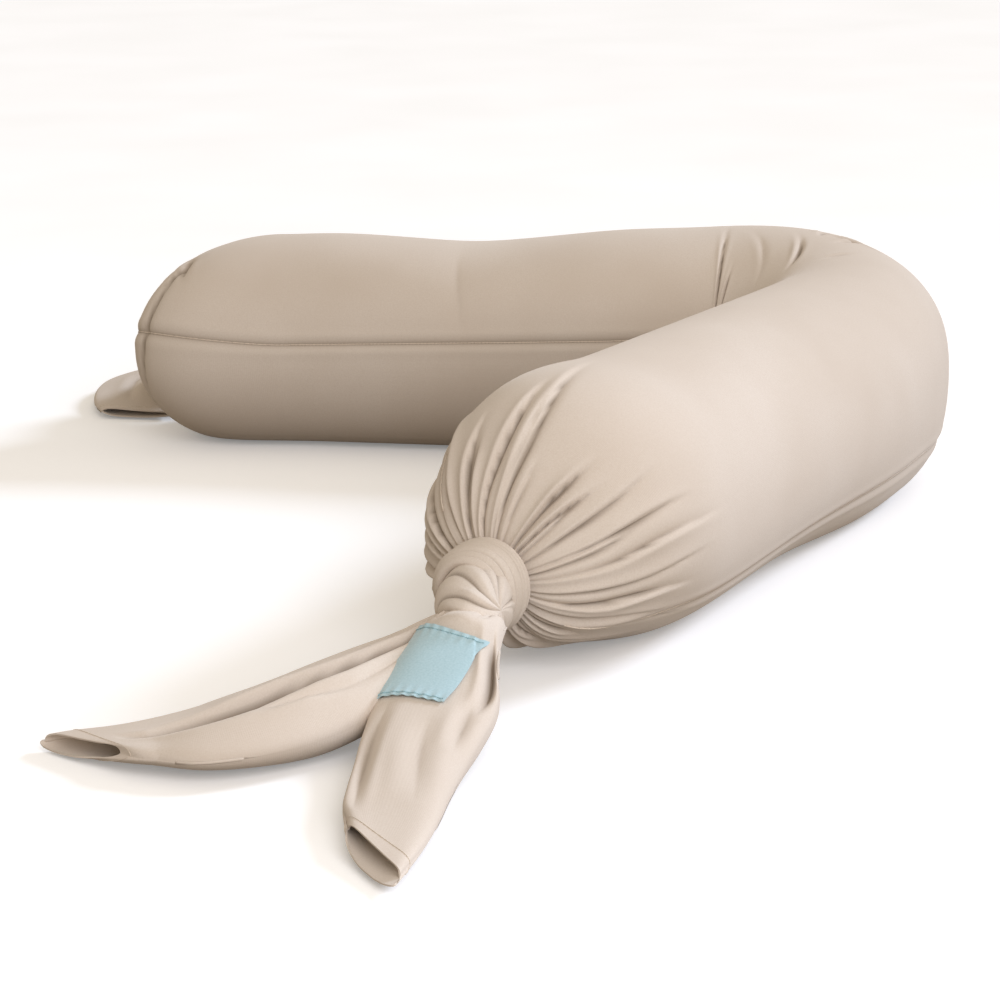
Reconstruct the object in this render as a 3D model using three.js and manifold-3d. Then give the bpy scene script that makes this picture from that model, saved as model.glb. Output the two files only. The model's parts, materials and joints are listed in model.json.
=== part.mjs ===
// A long bead-filled bolster pillow lying bent on a flat surface.
//
// The pillow is one round tube of jersey, sewn from an upper and a lower panel along two long
// seams. Inside it lie a closed woven casing and the loose fill of fine polystyrene beads. At each
// end the jersey is gathered into a neck and closed by a knot in two tie tails, which lie on the
// surface. A small sewn label sits on one tail. The pillow is folded at an elbow, which is divided
// into wedge-shaped stretches so that it can be opened out straight or closed further.
//
// Millimetres, +Z up, the surface that the pillow lies on is z = 0. The near arm's neck is at the
// front, the elbow at the right and the far arm runs to the left behind it.

import * as THREE from 'three';
import { mergeVertices } from 'three/addons/utils/BufferGeometryUtils.js';
import Module from 'manifold-3d';

const wasm = await Module();
wasm.setup();

// ---- driving dimensions, mm and degrees ---------------------------------------------------

const nearRadius = 100;        // radius of the filled tube at the near neck
const farRadius = 93;          // and at the far neck, where the fill is slacker
const nearArmLength = 530;     // near neck to the start of the elbow, along the centreline
const nearHeading = 60;        // direction of the near arm, from +X towards +Y
const elbowRadius = 114;       // of the centreline
const elbowTurn = 110;         // how far the elbow turns to the left
const farArmLength = 375;      // straight stretch of the far arm
const farEndLength = 125;      // the far arm's end, which curves to the right
const farEndTurn = 45;
const elbowStretches = 3;      // wedge-shaped stretches between the two arms
const restSag = 6;             // how much the weight flattens the underside

const nearDomeLength = 129;    // the rounded end, from the neck to the full radius
const farDomeLength = 106;
const domePower = 2.2;         // 2 is an ellipse, more is blunter
const neckRadius = 17;         // the gathered jersey inside the knot
const neckLength = 18;
const nearNeckHeight = 70;
const farNeckHeight = 66;
const nearNeckSide = 15;       // how far the near neck stands to the left of the arm's axis
const farNeckSide = 0;

const coverThickness = 1.5;
const casingThickness = 1;
const layerGap = 0.8;          // between cover, casing and fill
const touchGap = 0.3;          // between pieces that meet
const nearSeamTilt = -38;      // seam plane's tilt about the centreline at the near neck
const farSeamTilt = -15;       // and at the far neck
const seamThread = 1.4;        // width of the sewn seam's thread ridge

const knotBandRadius = 31;     // the collar that the first tail makes round the neck
const knotBandLength = 34;
const knotRollRadius = 22;     // the second turn, in front of the collar and below it

const knotSeat = 1.3;          // from the neck's rim to the collar
const rollOut = 30;            // from the collar's middle to the roll's
const rollDrop = 9;
const rollRoom = 1;            // from the roll to the tails that turn about it
const nearRollSide = -16;
const farRollSide = 0;

const tailWidth = 68;
const tailThickness = 13;
const tailRoom = 7;            // between the two tails of a knot, where they lie over each other
const tailRootWidth = 15;      // where a tail leaves the knot, rolled up on itself
const tailRootThickness = 15;

const labelWidth = 48;
const labelLength = 56;
const labelThickness = 1;
const labelFrom = 34;          // from the root of its tail
const stitchWidth = 1.2;
const threadHeight = 0.6;
const stitchInset = 2.5;
const hemWidth = 1.6;
const hemInset = 12;           // from a tail's end to its hem stitching
const hemShare = 0.88;         // of the tail's width
const tailEdgePower = 0.7;     // 1 is an ellipse in cross-section, less is squarer
const tailNarrowTo = 0.08;     // share of its length over which a tail keeps its root's width
const bandCornerShare = 0.7;   // how round the collar's edges are

const sides = 20;              // facets round the tube
const tailSides = 12;
const tailSteps = 13;

// ---- finishes -----------------------------------------------------------------------------

const jersey = { color: 0xe0d3c4, roughness: 0.92, metalness: 0 };
const woven = { color: 0xf2efe8, roughness: 0.85, metalness: 0 };
const beads = { color: 0xfafaf8, roughness: 0.7, metalness: 0 };
const thread = { color: 0xcbbba6, roughness: 0.8, metalness: 0 };
const labelCloth = { color: 0xbfd6d6, roughness: 0.75, metalness: 0 };
const labelThread = { color: 0x9fbcbc, roughness: 0.7, metalness: 0 };

// ---- centreline ---------------------------------------------------------------------------

const rad = THREE.MathUtils.degToRad;
const lerp = THREE.MathUtils.lerp;
const elbowStart = nearArmLength;
const elbowEnd = elbowStart + elbowRadius * rad(elbowTurn);
const farEndStart = elbowEnd + farArmLength;
const totalLength = farEndStart + farEndLength;

const heading = (angle) => new THREE.Vector3(Math.cos(angle), Math.sin(angle), 0);
const leftOf = (angle) => heading(angle + Math.PI / 2);

// A stretch of the centreline: a line, or an arc when turn isn't 0 (positive turns left).
function advance(start, angle, length, turn) {
  if (turn === 0) return { point: start.clone().addScaledVector(heading(angle), length), angle };
  const radius = length / turn;
  const point = start.clone().addScaledVector(leftOf(angle), radius)
    .addScaledVector(leftOf(angle + turn), -radius);
  return { point, angle: angle + turn };
}

const elbowCentre = new THREE.Vector3(0, 0, 0);
const elbowStartPoint = elbowCentre.clone().addScaledVector(leftOf(rad(nearHeading)), -elbowRadius);
const nearNeckPoint = elbowStartPoint.clone().addScaledVector(heading(rad(nearHeading)), -nearArmLength);

// Point and direction of the centreline in plan, at length s from the near neck.
function planAt(s) {
  const near = advance(nearNeckPoint, rad(nearHeading), Math.min(s, elbowStart), 0);
  if (s <= elbowStart) return near;
  const bend = Math.min(s, elbowEnd) - elbowStart;
  const elbow = advance(near.point, near.angle, bend, bend / elbowRadius);
  if (s <= elbowEnd) return elbow;
  const far = advance(elbow.point, elbow.angle, Math.min(s, farEndStart) - elbowEnd, 0);
  if (s <= farEndStart) return far;
  const end = Math.min(s, totalLength) - farEndStart;
  const tip = advance(far.point, far.angle, end, -rad(farEndTurn) * end / farEndLength);
  return advance(tip.point, tip.angle, s - farEndStart - end, 0);
}

// Everything that the cross-section at s needs: centre, sideways direction, radius and seam tilt.
function stationAt(s) {
  const { point, angle } = planAt(s);
  const along = THREE.MathUtils.clamp(s / totalLength, 0, 1);
  const fullRadius = lerp(nearRadius, farRadius, along);
  const nearShare = THREE.MathUtils.clamp(s / nearDomeLength, 0, 1);
  const farShare = THREE.MathUtils.clamp((totalLength - s) / farDomeLength, 0, 1);
  const dome = (share) => (1 - (1 - share) ** domePower) ** (1 / domePower);
  const radius = Math.max(neckRadius, fullRadius * Math.min(dome(nearShare), dome(farShare)));
  const restHeight = fullRadius - restSag;
  const nearDrop = (1 - nearShare) ** 2;
  const farDrop = (1 - farShare) ** 2;
  const height = restHeight + (nearNeckHeight - restHeight) * nearDrop
    + (farNeckHeight - restHeight) * farDrop;
  const centre = point.clone().addScaledVector(leftOf(angle), nearNeckSide * nearDrop + farNeckSide * farDrop);
  centre.z = height;
  return { centre, side: leftOf(angle), angle, radius, tilt: rad(lerp(nearSeamTilt, farSeamTilt, along)) };
}

// Lengths along the centreline at which the tube has a cross-section.
const domeShares = [0, 0.02, 0.08, 0.18, 0.33, 0.55, 0.8, 1];
const casingShare = domeShares[2];  // how far into the dome the casing and the fill start
const armStep = 140;
const stopRoom = 0.4;               // a cut this close to a cross-section takes its place

const stops = [
  -neckLength,
  ...domeShares.map((share) => share * nearDomeLength),
  ...spaced(nearDomeLength, elbowStart, armStep),
  ...spaced(elbowStart, elbowEnd, (elbowEnd - elbowStart) / (elbowStretches * 2)),
  ...spaced(elbowEnd, farEndStart, armStep),
  lerp(farEndStart, totalLength - farDomeLength, 0.5),
  ...domeShares.map((share) => totalLength - share * farDomeLength),
  totalLength + neckLength,
].sort((a, b) => a - b).filter((s, i, all) => i === 0 || s - all[i - 1] > 0.01);

// The values from first to last, in equal steps no longer than step.
function spaced(first, last, step) {
  const count = Math.max(1, Math.ceil(Math.abs(last - first) / step - 1e-6));
  return Array.from({ length: count + 1 }, (_, i) => lerp(first, last, i / count));
}

// The cross-sections that a piece from one length to another needs, its own ends included.
function stations(from, to) {
  return [from, ...stops.filter((s) => s > from + stopRoom && s < to - stopRoom), to];
}

// A point of the layer that lies depth under the cover's outside, at an angle round the tube that
// starts at the inner seam and runs over the top. Between two cross-sections the tube is straight,
// so that layers which end at different lengths still nest.
function layerPoint(s, turn, depth) {
  const next = Math.max(1, stops.findIndex((stop) => stop >= s - 1e-9));
  const share = (s - stops[next - 1]) / (stops[next] - stops[next - 1]);
  return sectionPoint(stops[next - 1], turn, depth).lerp(sectionPoint(stops[next], turn, depth), share);
}

// The same on a cross-section itself. No layer reaches through the flattened underside.
function sectionPoint(s, turn, depth) {
  const { centre, side, radius, tilt } = stationAt(s);
  const angle = turn - tilt;
  const reach = radius - depth;
  const point = centre.clone().addScaledVector(side, reach * Math.cos(angle));
  point.z = Math.max(centre.z + reach * Math.sin(angle), depth);
  return point;
}

// ---- meshes from grids of points ----------------------------------------------------------

// A closed body from rows of points. Rows close on themselves; the first and last row are capped
// by a fan, or joined to each other when joinEnds is set, or capped across by fold, where a row
// runs out along one side and back along the other. Where a grid runs backwards its squares are
// split the other way, so that layers over each other are faceted alike.
function gridBody(rows, { joinEnds = false, fold = false, backwards = () => false } = {}) {
  const width = rows[0].length;
  const positions = rows.flat();
  const faces = [];
  const count = joinEnds ? rows.length : rows.length - 1;
  for (let r = 0; r < count; r++) {
    for (let c = 0; c < width; c++) {
      const a = r * width + c;
      const b = r * width + (c + 1) % width;
      const next = ((r + 1) % rows.length) * width;
      const d = next + c;
      const e = next + (c + 1) % width;
      if (backwards(r, c)) faces.push([a, b, d], [b, e, d]);
      else faces.push([a, b, e], [a, e, d]);
    }
  }
  const capAt = (r, flip) => {
    const put = (a, b, c) => faces.push(flip ? [a, b, c] : [a, c, b]);
    if (fold) {
      for (let c = 0; c < width / 2 - 1; c++) {
        const a = r * width + c;
        const back = r * width + width - 1 - c;
        put(a, back, a + 1);
        put(a + 1, back, back - 1);
      }
      return;
    }
    const middle = rows[r].reduce((sum, p) => sum.add(p), new THREE.Vector3()).divideScalar(width);
    positions.push(middle);
    for (let c = 0; c < width; c++) put(positions.length - 1, r * width + (c + 1) % width, r * width + c);
  };
  if (!joinEnds) {
    capAt(0, true);
    capAt(rows.length - 1, false);
  }
  return outward(positions, faces);
}

// Geometry of the faces, turned so that they point out of the body.
function outward(points, faces) {
  const volume = faces.reduce((sum, [a, b, c]) => sum + points[a].dot(points[b].clone().cross(points[c])), 0);
  const index = faces.flatMap(([a, b, c]) => (volume > 0 ? [a, b, c] : [a, c, b]));
  const geometry = new THREE.BufferGeometry();
  geometry.setAttribute('position', new THREE.Float32BufferAttribute(points.flatMap((p) => p.toArray()), 3));
  geometry.setIndex(index);
  return geometry;
}

const ringAngles = Array.from({ length: sides }, (_, i) => 2 * Math.PI * i / sides);

// ---- the three layers of the tube ---------------------------------------------------------

// One panel of the cover: the upper one runs over the top, the lower one under the bottom.
function coverPanel(from, to, upper) {
  const outline = (s) => {
    const { radius } = stationAt(s);
    const margin = touchGap / 2 / radius;
    const first = upper ? margin : Math.PI + margin;
    const turns = spaced(first, first + Math.PI - 2 * margin, 2 * Math.PI / sides);
    const outer = turns.map((turn) => layerPoint(s, turn, 0));
    const inner = turns.map((turn) => layerPoint(s, turn, coverThickness));
    return [...outer, ...inner.reverse()];
  };
  const rows = stations(from, to).map(outline);
  return gridBody(rows, { fold: true, backwards: (r, c) => c >= rows[0].length / 2 });
}

// The woven casing: a tube open at its cut ends, and closed where it meets a dome's end.
function casing(from, to, closed) {
  const depth = coverThickness + layerGap;
  const ring = (s, under) => ringAngles.map((turn) => layerPoint(s, turn, under));
  const outer = stations(from, to).map((s) => ring(s, depth));
  if (closed === 'none') {
    const inner = stations(from, to).map((s) => ring(s, depth + casingThickness)).reverse();
    return gridBody([...outer, ...inner], { joinEnds: true, backwards: (r) => r >= outer.length });
  }
  const [innerFrom, innerTo] = closed === 'start' ? [from + casingThickness, to] : [from, to - casingThickness];
  const inner = stations(innerFrom, innerTo).map((s) => ring(s, depth + casingThickness));
  const outerFirst = closed === 'start';
  const rows = outerFirst ? [...outer, ...inner.reverse()] : [...outer.reverse(), ...inner];
  return gridBody(rows, { backwards: (r) => (r >= outer.length) === outerFirst });
}

function beadFill(from, to) {
  const depth = coverThickness + casingThickness + 2 * layerGap;
  return gridBody(stations(from, to).map((s) => ringAngles.map((turn) => layerPoint(s, turn, depth))));
}

// The ridge of thread along a seam, on the cover's outside: turn 0 is the inner seam, pi the outer.
function seamRidge(from, to, turn) {
  const rows = stations(from, to).map((s) => {
    const half = seamThread / 2 / stationAt(s).radius;
    const low = -touchGap;
    const high = -touchGap - seamThread / 2;
    return [[turn - half, low], [turn + half, low], [turn + half, high], [turn - half, high]]
      .map(([at, depth]) => layerPoint(s, at, depth));
  });
  return gridBody(rows);
}

// ---- solids by boolean --------------------------------------------------------------------

const weldDistance = 1e-4;

function toSolid(geometry) {
  const bare = geometry.clone();
  bare.deleteAttribute('normal');
  bare.deleteAttribute('uv');
  const merged = mergeVertices(bare, weldDistance);
  return new wasm.Manifold(new wasm.Mesh({
    numProp: 3,
    vertProperties: merged.attributes.position.array,
    triVerts: Uint32Array.from(merged.index.array),
  }));
}

function toGeometry(solid) {
  const mesh = solid.getMesh();
  const geometry = new THREE.BufferGeometry();
  geometry.setAttribute('position', new THREE.BufferAttribute(Float32Array.from(mesh.vertProperties), 3));
  geometry.setIndex(new THREE.BufferAttribute(Uint32Array.from(mesh.triVerts), 1));
  return geometry;
}

// The largest piece of the body that is left outside the others.
function trimmed(geometry, others) {
  const left = others.reduce((solid, other) => solid.subtract(toSolid(other)), toSolid(geometry));
  const pieces = left.decompose().sort((a, b) => b.volume() - a.volume());
  return toGeometry(pieces[0]);
}

// Turns a shape made about +Y so that it lies about axis, with its middle at centre.
function placeAlong(geometry, centre, axis) {
  const turn = new THREE.Quaternion().setFromUnitVectors(new THREE.Vector3(0, 1, 0), axis.clone().normalize());
  return geometry.applyQuaternion(turn).translate(centre.x, centre.y, centre.z);
}

// ---- knots --------------------------------------------------------------------------------

const knotSides = 16;

// The collar: a rounded band round the neck. grow makes it larger all round.
function knotBand(place, grow = 0) {
  const half = knotBandLength / 2 + grow;
  const inner = (neckRadius + touchGap) / Math.cos(Math.PI / knotSides) - grow;  // clear at its facets too
  const outer = knotBandRadius + grow;
  const profile = [];
  const cornerSteps = 4;
  const corner = Math.min(half, outer - inner) * bandCornerShare;
  for (let i = 0; i <= cornerSteps; i++) {
    const angle = Math.PI / 2 * i / cornerSteps;
    profile.push(new THREE.Vector2(outer - corner + corner * Math.cos(angle), half - corner + corner * Math.sin(angle)));
  }
  const lower = profile.map((p) => new THREE.Vector2(p.x, -p.y)).reverse();
  const outline = [new THREE.Vector2(inner, -half), ...lower, ...profile, new THREE.Vector2(inner, half)];
  return placeAlong(closedLathe(outline), place.bandCentre, place.axis);
}

function closedLathe(outline) {
  const rows = outline.map((p) => Array.from({ length: knotSides }, (_, i) => {
    const angle = 2 * Math.PI * i / knotSides;
    return new THREE.Vector3(p.x * Math.cos(angle), p.y, p.x * Math.sin(angle));
  }));
  return gridBody(rows, { joinEnds: true });
}

// The second turn of the knot: a round roll of cloth in front of the collar and below it. The tails
// turn about its middle, so it is the same all round.
function knotRoll(place, grow = 0) {
  const shape = new THREE.SphereGeometry(knotRollRadius + grow, knotSides, knotSides / 2);
  return shape.translate(...place.rollCentre.toArray());
}

// The gathered neck inside the collar, with room round it.
function neckRoom(place) {
  const length = neckLength + touchGap;
  const shape = new THREE.CylinderGeometry(neckRadius + 2 * touchGap, neckRadius + 2 * touchGap, length, knotSides);
  return placeAlong(shape, place.neckCentre.clone().addScaledVector(place.axis, length / 2), place.axis);
}

// Where a knot's pieces sit, from the neck's own place. outSign turns the neck's direction so that
// it points away from the pillow; the roll stands out from the collar, rollSide to the left of it.
function knotPlace(s, outSign, rollSide) {
  const { centre, side, angle } = stationAt(s);
  const axis = heading(angle).multiplyScalar(outSign);
  const bandCentre = centre.clone().addScaledVector(axis, knotBandLength / 2 + knotSeat);
  const rollCentre = bandCentre.clone().addScaledVector(axis, rollOut).addScaledVector(side, rollSide);
  rollCentre.z -= rollDrop;
  return { axis, neckCentre: centre, bandCentre, rollCentre };
}

const nearKnot = knotPlace(0, -1, nearRollSide);
const farKnot = knotPlace(totalLength, 1, farRollSide);

// ---- tie tails ----------------------------------------------------------------------------

// A tail: a flat strip of doubled jersey along a hand-laid route, narrow and thick where it leaves
// the knot. The route's points are steps in plan from the knot's roll, and heights above the
// surface; across is the sideways direction of its width at the root and at the end, and spreadBy
// the share of its length by which it has opened to its full width.
function tailShape(knot, route, across, spreadBy = 0.4) {
  const points = route.map(([x, y, z]) => new THREE.Vector3(knot.rollCentre.x + x, knot.rollCentre.y + y, z));
  const curve = new THREE.CatmullRomCurve3(points, false, 'centripetal');
  const spread = (t) => THREE.MathUtils.smoothstep(t, tailNarrowTo, spreadBy);
  const frameAt = (t) => {
    const along = curve.getTangentAt(t);
    const wide = new THREE.Vector3(...across[0]).lerp(new THREE.Vector3(...across[1]), t);
    wide.addScaledVector(along, -wide.dot(along)).normalize();
    const up = along.clone().cross(wide).normalize();
    return { middle: curve.getPointAt(t), wide, up };
  };
  const sizeAt = (t) => ({
    halfWidth: lerp(tailRootWidth, tailWidth, spread(t)) / 2,
    halfThick: lerp(tailRootThickness, tailThickness, spread(t)) / 2,
  });
  const bodyPoint = (t, angle, grow = 0) => {
    const { middle, wide, up } = frameAt(t);
    const { halfWidth, halfThick } = sizeAt(t);
    const round = (v) => Math.sign(v) * Math.abs(v) ** tailEdgePower;
    const point = middle.clone().addScaledVector(wide, (halfWidth + grow) * round(Math.cos(angle)))
      .addScaledVector(up, (halfThick + grow) * round(Math.sin(angle)));
    point.z = Math.max(point.z, grow > 0 ? -grow : 0);
    return point;
  };
  return { bodyPoint, frameAt, length: curve.getLength() };
}

function tailBody(tail, grow = 0) {
  const rows = Array.from({ length: tailSteps + 1 }, (_, i) => {
    const t = i / tailSteps;
    return Array.from({ length: tailSides }, (_, j) => tail.bodyPoint(t, 2 * Math.PI * j / tailSides, grow));
  });
  return gridBody(rows);
}

const patchReach = 40;         // height of the block that cuts a patch out

// A rectangle of thin cloth or stitching that follows a tail's upper face, from low to high above
// it: the skin between two grown tails, kept where an upright block stands over the rectangle.
function facePatch(tail, middleLength, length, width, low, high, holeInset = 0) {
  const { middle, wide, up } = tail.frameAt(middleLength / tail.length);
  const top = up.z < 0 ? up.clone().negate() : up;
  const block = (shrink) => {
    const box = new THREE.BoxGeometry(width - 2 * shrink, length - 2 * shrink, patchReach);
    const turn = new THREE.Matrix4().makeBasis(wide, top.clone().cross(wide), top);
    const place = middle.clone().addScaledVector(top, patchReach / 2);
    return toSolid(box.applyMatrix4(turn).translate(place.x, place.y, place.z));
  };
  let patch = toSolid(tailBody(tail, high)).subtract(toSolid(tailBody(tail, low))).intersect(block(0));
  if (holeInset > 0) patch = patch.subtract(block(holeInset));
  return toGeometry(patch.decompose().sort((a, b) => b.volume() - a.volume())[0]);
}

const flatX = [1, 0, 0];
const tails = {
  near_tail_left: tailShape(nearKnot,
    [[0, 0, 60], [-22, -5, 45], [-50, -17, 32], [-101, -42, 17], [-159, -69, 9], [-214, -87, 8], [-262, -99, 8]],
    [[0.3, -0.6, 0.75], [0.35, -0.93, 0]]),
  near_tail_front: tailShape(nearKnot,
    [[0, 0, 60], [-3, -20, 45], [-13, -42, 32], [-27, -78, 17], [-37, -137, 9], [-46, -197, 8], [-55, -253, 8]],
    [[0.9, -0.3, 0.1], flatX], 0.2),
  far_tail_left: tailShape(farKnot,
    [[0, 0, 56], [-8, 20, 36], [-12, 46, 17], [-24, 72, 10], [-50, 82, 9], [-72, 62, 9], [-78, 28, 8],
      [-76, -8, 8], [-70, -40, 8]],
    [[1, 0.3, 0], [0.96, 0.1, 0]], 1),
  far_tail_back: tailShape(farKnot,
    [[0, 0, 56], [22, 10, 40], [50, 22, 25], [92, 42, 11], [140, 58, 8], [195, 68, 8], [250, 72, 8]],
    [[0.5, -0.8, 0.2], [0, -1, 0]]),
};

// ---- the assembly -------------------------------------------------------------------------

const pillow = new THREE.Group();

function addPiece(name, geometry, finish) {
  const mesh = new THREE.Mesh(geometry, new THREE.MeshStandardMaterial(finish));
  mesh.name = name;
  pillow.add(mesh);
}

// The tube, cut across at the elbow's hinge planes.
const cuts = Array.from({ length: elbowStretches + 1 }, (_, i) => lerp(elbowStart, elbowEnd, i / elbowStretches));
const casingStart = casingShare * nearDomeLength;
const casingEnd = totalLength - casingShare * farDomeLength;
const lining = casingThickness + layerGap;

function addStretch(name, from, to, closed) {
  const innerFrom = closed === 'start' ? casingStart : from;
  const innerTo = closed === 'end' ? casingEnd : to;
  const seamFrom = closed === 'start' ? casingStart : from;
  const seamTo = closed === 'end' ? casingEnd : to;
  addPiece(`${name}_cover_upper`, coverPanel(from, to, true), jersey);
  addPiece(`${name}_cover_lower`, coverPanel(from, to, false), jersey);
  addPiece(`${name}_casing`, casing(innerFrom, innerTo, closed), woven);
  const fillFrom = closed === 'start' ? innerFrom + lining : innerFrom;
  const fillTo = closed === 'end' ? innerTo - lining : innerTo;
  addPiece(`${name}_bead_fill`, beadFill(fillFrom, fillTo), beads);
  addPiece(`${name}_seam_inner`, seamRidge(seamFrom, seamTo, 0), thread);
  addPiece(`${name}_seam_outer`, seamRidge(seamFrom, seamTo, Math.PI), thread);
}

addStretch('near_arm', -neckLength, cuts[0] - touchGap / 2, 'start');
for (let i = 0; i < elbowStretches; i++) {
  addStretch(`elbow_${i + 1}`, cuts[i] + touchGap / 2, cuts[i + 1] - touchGap / 2, 'none');
}
addStretch('far_arm', cuts[elbowStretches] + touchGap / 2, totalLength + neckLength, 'end');

// A knot, then its two tails, each cut clear of what it comes out of.
function addKnot(end, place, leftTail, otherTail) {
  const band = knotBand(place);
  const roll = trimmed(knotRoll(place), [knotBand(place, touchGap), neckRoom(place)]);
  addPiece(`${end}_knot_collar`, band, jersey);
  addPiece(`${end}_knot_roll`, roll, jersey);
  const knot = [knotBand(place, touchGap), knotRoll(place, rollRoom)];
  addPiece(otherTail, trimmed(tailBody(tails[otherTail]), knot), jersey);
  addPiece(leftTail, trimmed(tailBody(tails[leftTail]), [...knot, tailBody(tails[otherTail], tailRoom)]), jersey);
}

addKnot('near', nearKnot, 'near_tail_left', 'near_tail_front');
addKnot('far', farKnot, 'far_tail_left', 'far_tail_back');

// Hem stitching across each tail's end, and the label with its stitched border.
for (const [name, tail] of Object.entries(tails)) {
  const at = tail.length - hemInset;
  addPiece(`${name}_hem`, facePatch(tail, at, hemWidth, tailWidth * hemShare, touchGap, touchGap + threadHeight), thread);
}

const labelTail = tails.near_tail_front;
const labelMiddle = labelFrom + labelLength / 2;
const labelTop = touchGap + labelThickness;
const stitchLow = labelTop + touchGap;
addPiece('label', facePatch(labelTail, labelMiddle, labelLength, labelWidth, touchGap, labelTop), labelCloth);
addPiece('label_stitching', facePatch(labelTail, labelMiddle, labelLength - 2 * stitchInset,
  labelWidth - 2 * stitchInset, stitchLow, stitchLow + threadHeight, stitchWidth), labelThread);

// The origin is under the middle of the whole pillow, on the surface that it lies on.
const box = new THREE.Box3().setFromObject(pillow);
const middle = box.getCenter(new THREE.Vector3());
pillow.position.set(-middle.x, -middle.y, -box.min.z);

export default pillow;
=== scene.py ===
"""A long bead-filled bolster pillow, lying bent on a pale floor.

The pillow is a jersey cover sewn from two panels, over a woven casing full of small beads. Each end
is gathered into a neck and closed by a knot, from which two tie tails lie on the floor. A small
satin label is sewn to one tail. Lengths are in metres; the path of the pillow runs from the near
neck, round the elbow, to the far neck.
"""

import json
import logging
import math
from dataclasses import dataclass, field
from enum import Enum

import bmesh
import bpy
import numpy as np
from mathutils import Matrix, Vector


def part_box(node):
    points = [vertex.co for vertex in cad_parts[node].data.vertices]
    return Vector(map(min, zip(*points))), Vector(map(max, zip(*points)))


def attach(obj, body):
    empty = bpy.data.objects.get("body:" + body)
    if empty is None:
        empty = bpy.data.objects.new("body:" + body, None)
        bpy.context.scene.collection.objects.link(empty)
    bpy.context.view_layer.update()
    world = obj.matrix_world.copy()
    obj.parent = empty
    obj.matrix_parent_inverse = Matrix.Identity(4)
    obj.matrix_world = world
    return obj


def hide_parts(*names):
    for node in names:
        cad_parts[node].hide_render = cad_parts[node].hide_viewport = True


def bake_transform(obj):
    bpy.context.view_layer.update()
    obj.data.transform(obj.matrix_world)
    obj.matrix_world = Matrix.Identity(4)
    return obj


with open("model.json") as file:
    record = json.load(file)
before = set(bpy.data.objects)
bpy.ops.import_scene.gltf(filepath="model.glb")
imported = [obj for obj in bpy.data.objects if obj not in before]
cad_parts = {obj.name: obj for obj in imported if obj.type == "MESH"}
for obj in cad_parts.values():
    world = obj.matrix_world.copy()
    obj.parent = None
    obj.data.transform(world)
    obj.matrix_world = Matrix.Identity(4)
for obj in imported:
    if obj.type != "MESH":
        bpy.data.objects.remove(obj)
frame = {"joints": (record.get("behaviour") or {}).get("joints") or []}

LOG = logging.getLogger("bolster")
Array = np.ndarray
Object, Material = bpy.types.Object, bpy.types.Material
Node, Socket = bpy.types.Node, bpy.types.NodeSocket

CLOTH_MAP = "cloth"          # UV map, in metres over the cloth
PATH_NAME = "path_length"    # each vertex's length along the pillow
# Painted shade: the attribute below says how much of the darker fold colour the jersey mixes in.
FOLD_SHADE_NAME = "painted_fold_shade"     # 0 on open cloth to 1 at the bottom of a fold


# ---- small helpers ------------------------------------------------------------------------


def smooth(value: Array, low: float, high: float) -> Array:
    """A smooth step from 0 at low to 1 at high."""
    t = np.clip((np.asarray(value, float) - low) / (high - low), 0.0, 1.0)
    return t * t * (3.0 - 2.0 * t)


def hump(value: Array, width: float) -> Array:
    """A bell of height 1 about zero."""
    return np.exp(-((np.asarray(value, float) / width) ** 2))


def unit(vectors: Array) -> Array:
    """The vectors at length 1, along the last axis."""
    return vectors / np.maximum(np.linalg.norm(vectors, axis=-1, keepdims=True), 1e-12)


def soft_floor(height: Array, floor: float, ease: float) -> Array:
    """Heights kept above a floor, with a rounded start of the contact.

    Args:
        height: heights.
        floor: the lowest height allowed.
        ease: how far above the floor the rounding starts.

    Returns:
        The heights, never below the floor.
    """
    over = height - floor
    eased = ease * np.exp(np.minimum(over / ease - 1.0, 0.0))
    return floor + np.where(over > ease, over, eased)


def surface_normals(points: Array, wrap: bool) -> Array:
    """Unit normals of a grid of points.

    Args:
        points: rows by columns by 3.
        wrap: True if the last column is the first again.

    Returns:
        Normals, the same shape.
    """
    along = np.gradient(points, axis=0)
    if wrap:
        ring = np.concatenate([points[:, -2:-1], points, points[:, 1:2]], axis=1)
        across = (ring[:, 2:] - ring[:, :-2]) / 2.0
    else:
        across = np.gradient(points, axis=1)
    return unit(np.cross(along, across))


def wrapped(angle: Array) -> Array:
    """Angles in radians, brought between minus and plus half a turn."""
    return (angle + math.pi) % (2 * math.pi) - math.pi


def grid(*parts: Array) -> Array:
    """The parts spread over one grid and stacked along a new last axis."""
    return np.stack(np.broadcast_arrays(*parts), axis=-1)


def on_line(at: Array, places: Array, points: Array) -> Array:
    """Points of a polyline at the given places along it.

    Args:
        at: places asked for.
        places: the places of the points.
        points: the polyline.

    Returns:
        Points, one for each place.
    """
    return np.stack([np.interp(at, places, points[:, i]) for i in range(3)], axis=-1)


def closed(points: Array) -> Array:
    """The rows with one more at each end, drawn to the middle of the end row."""
    first, last = (row.mean(axis=1, keepdims=True) + 0 * row for row in (points[:1], points[-1:]))
    return np.concatenate([first, points, last])


def twice_at_ends(values: Array) -> Array:
    """The values with the first and the last one repeated, to go with closed rows."""
    return np.concatenate([values[:1], values, values[-1:]])


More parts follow.
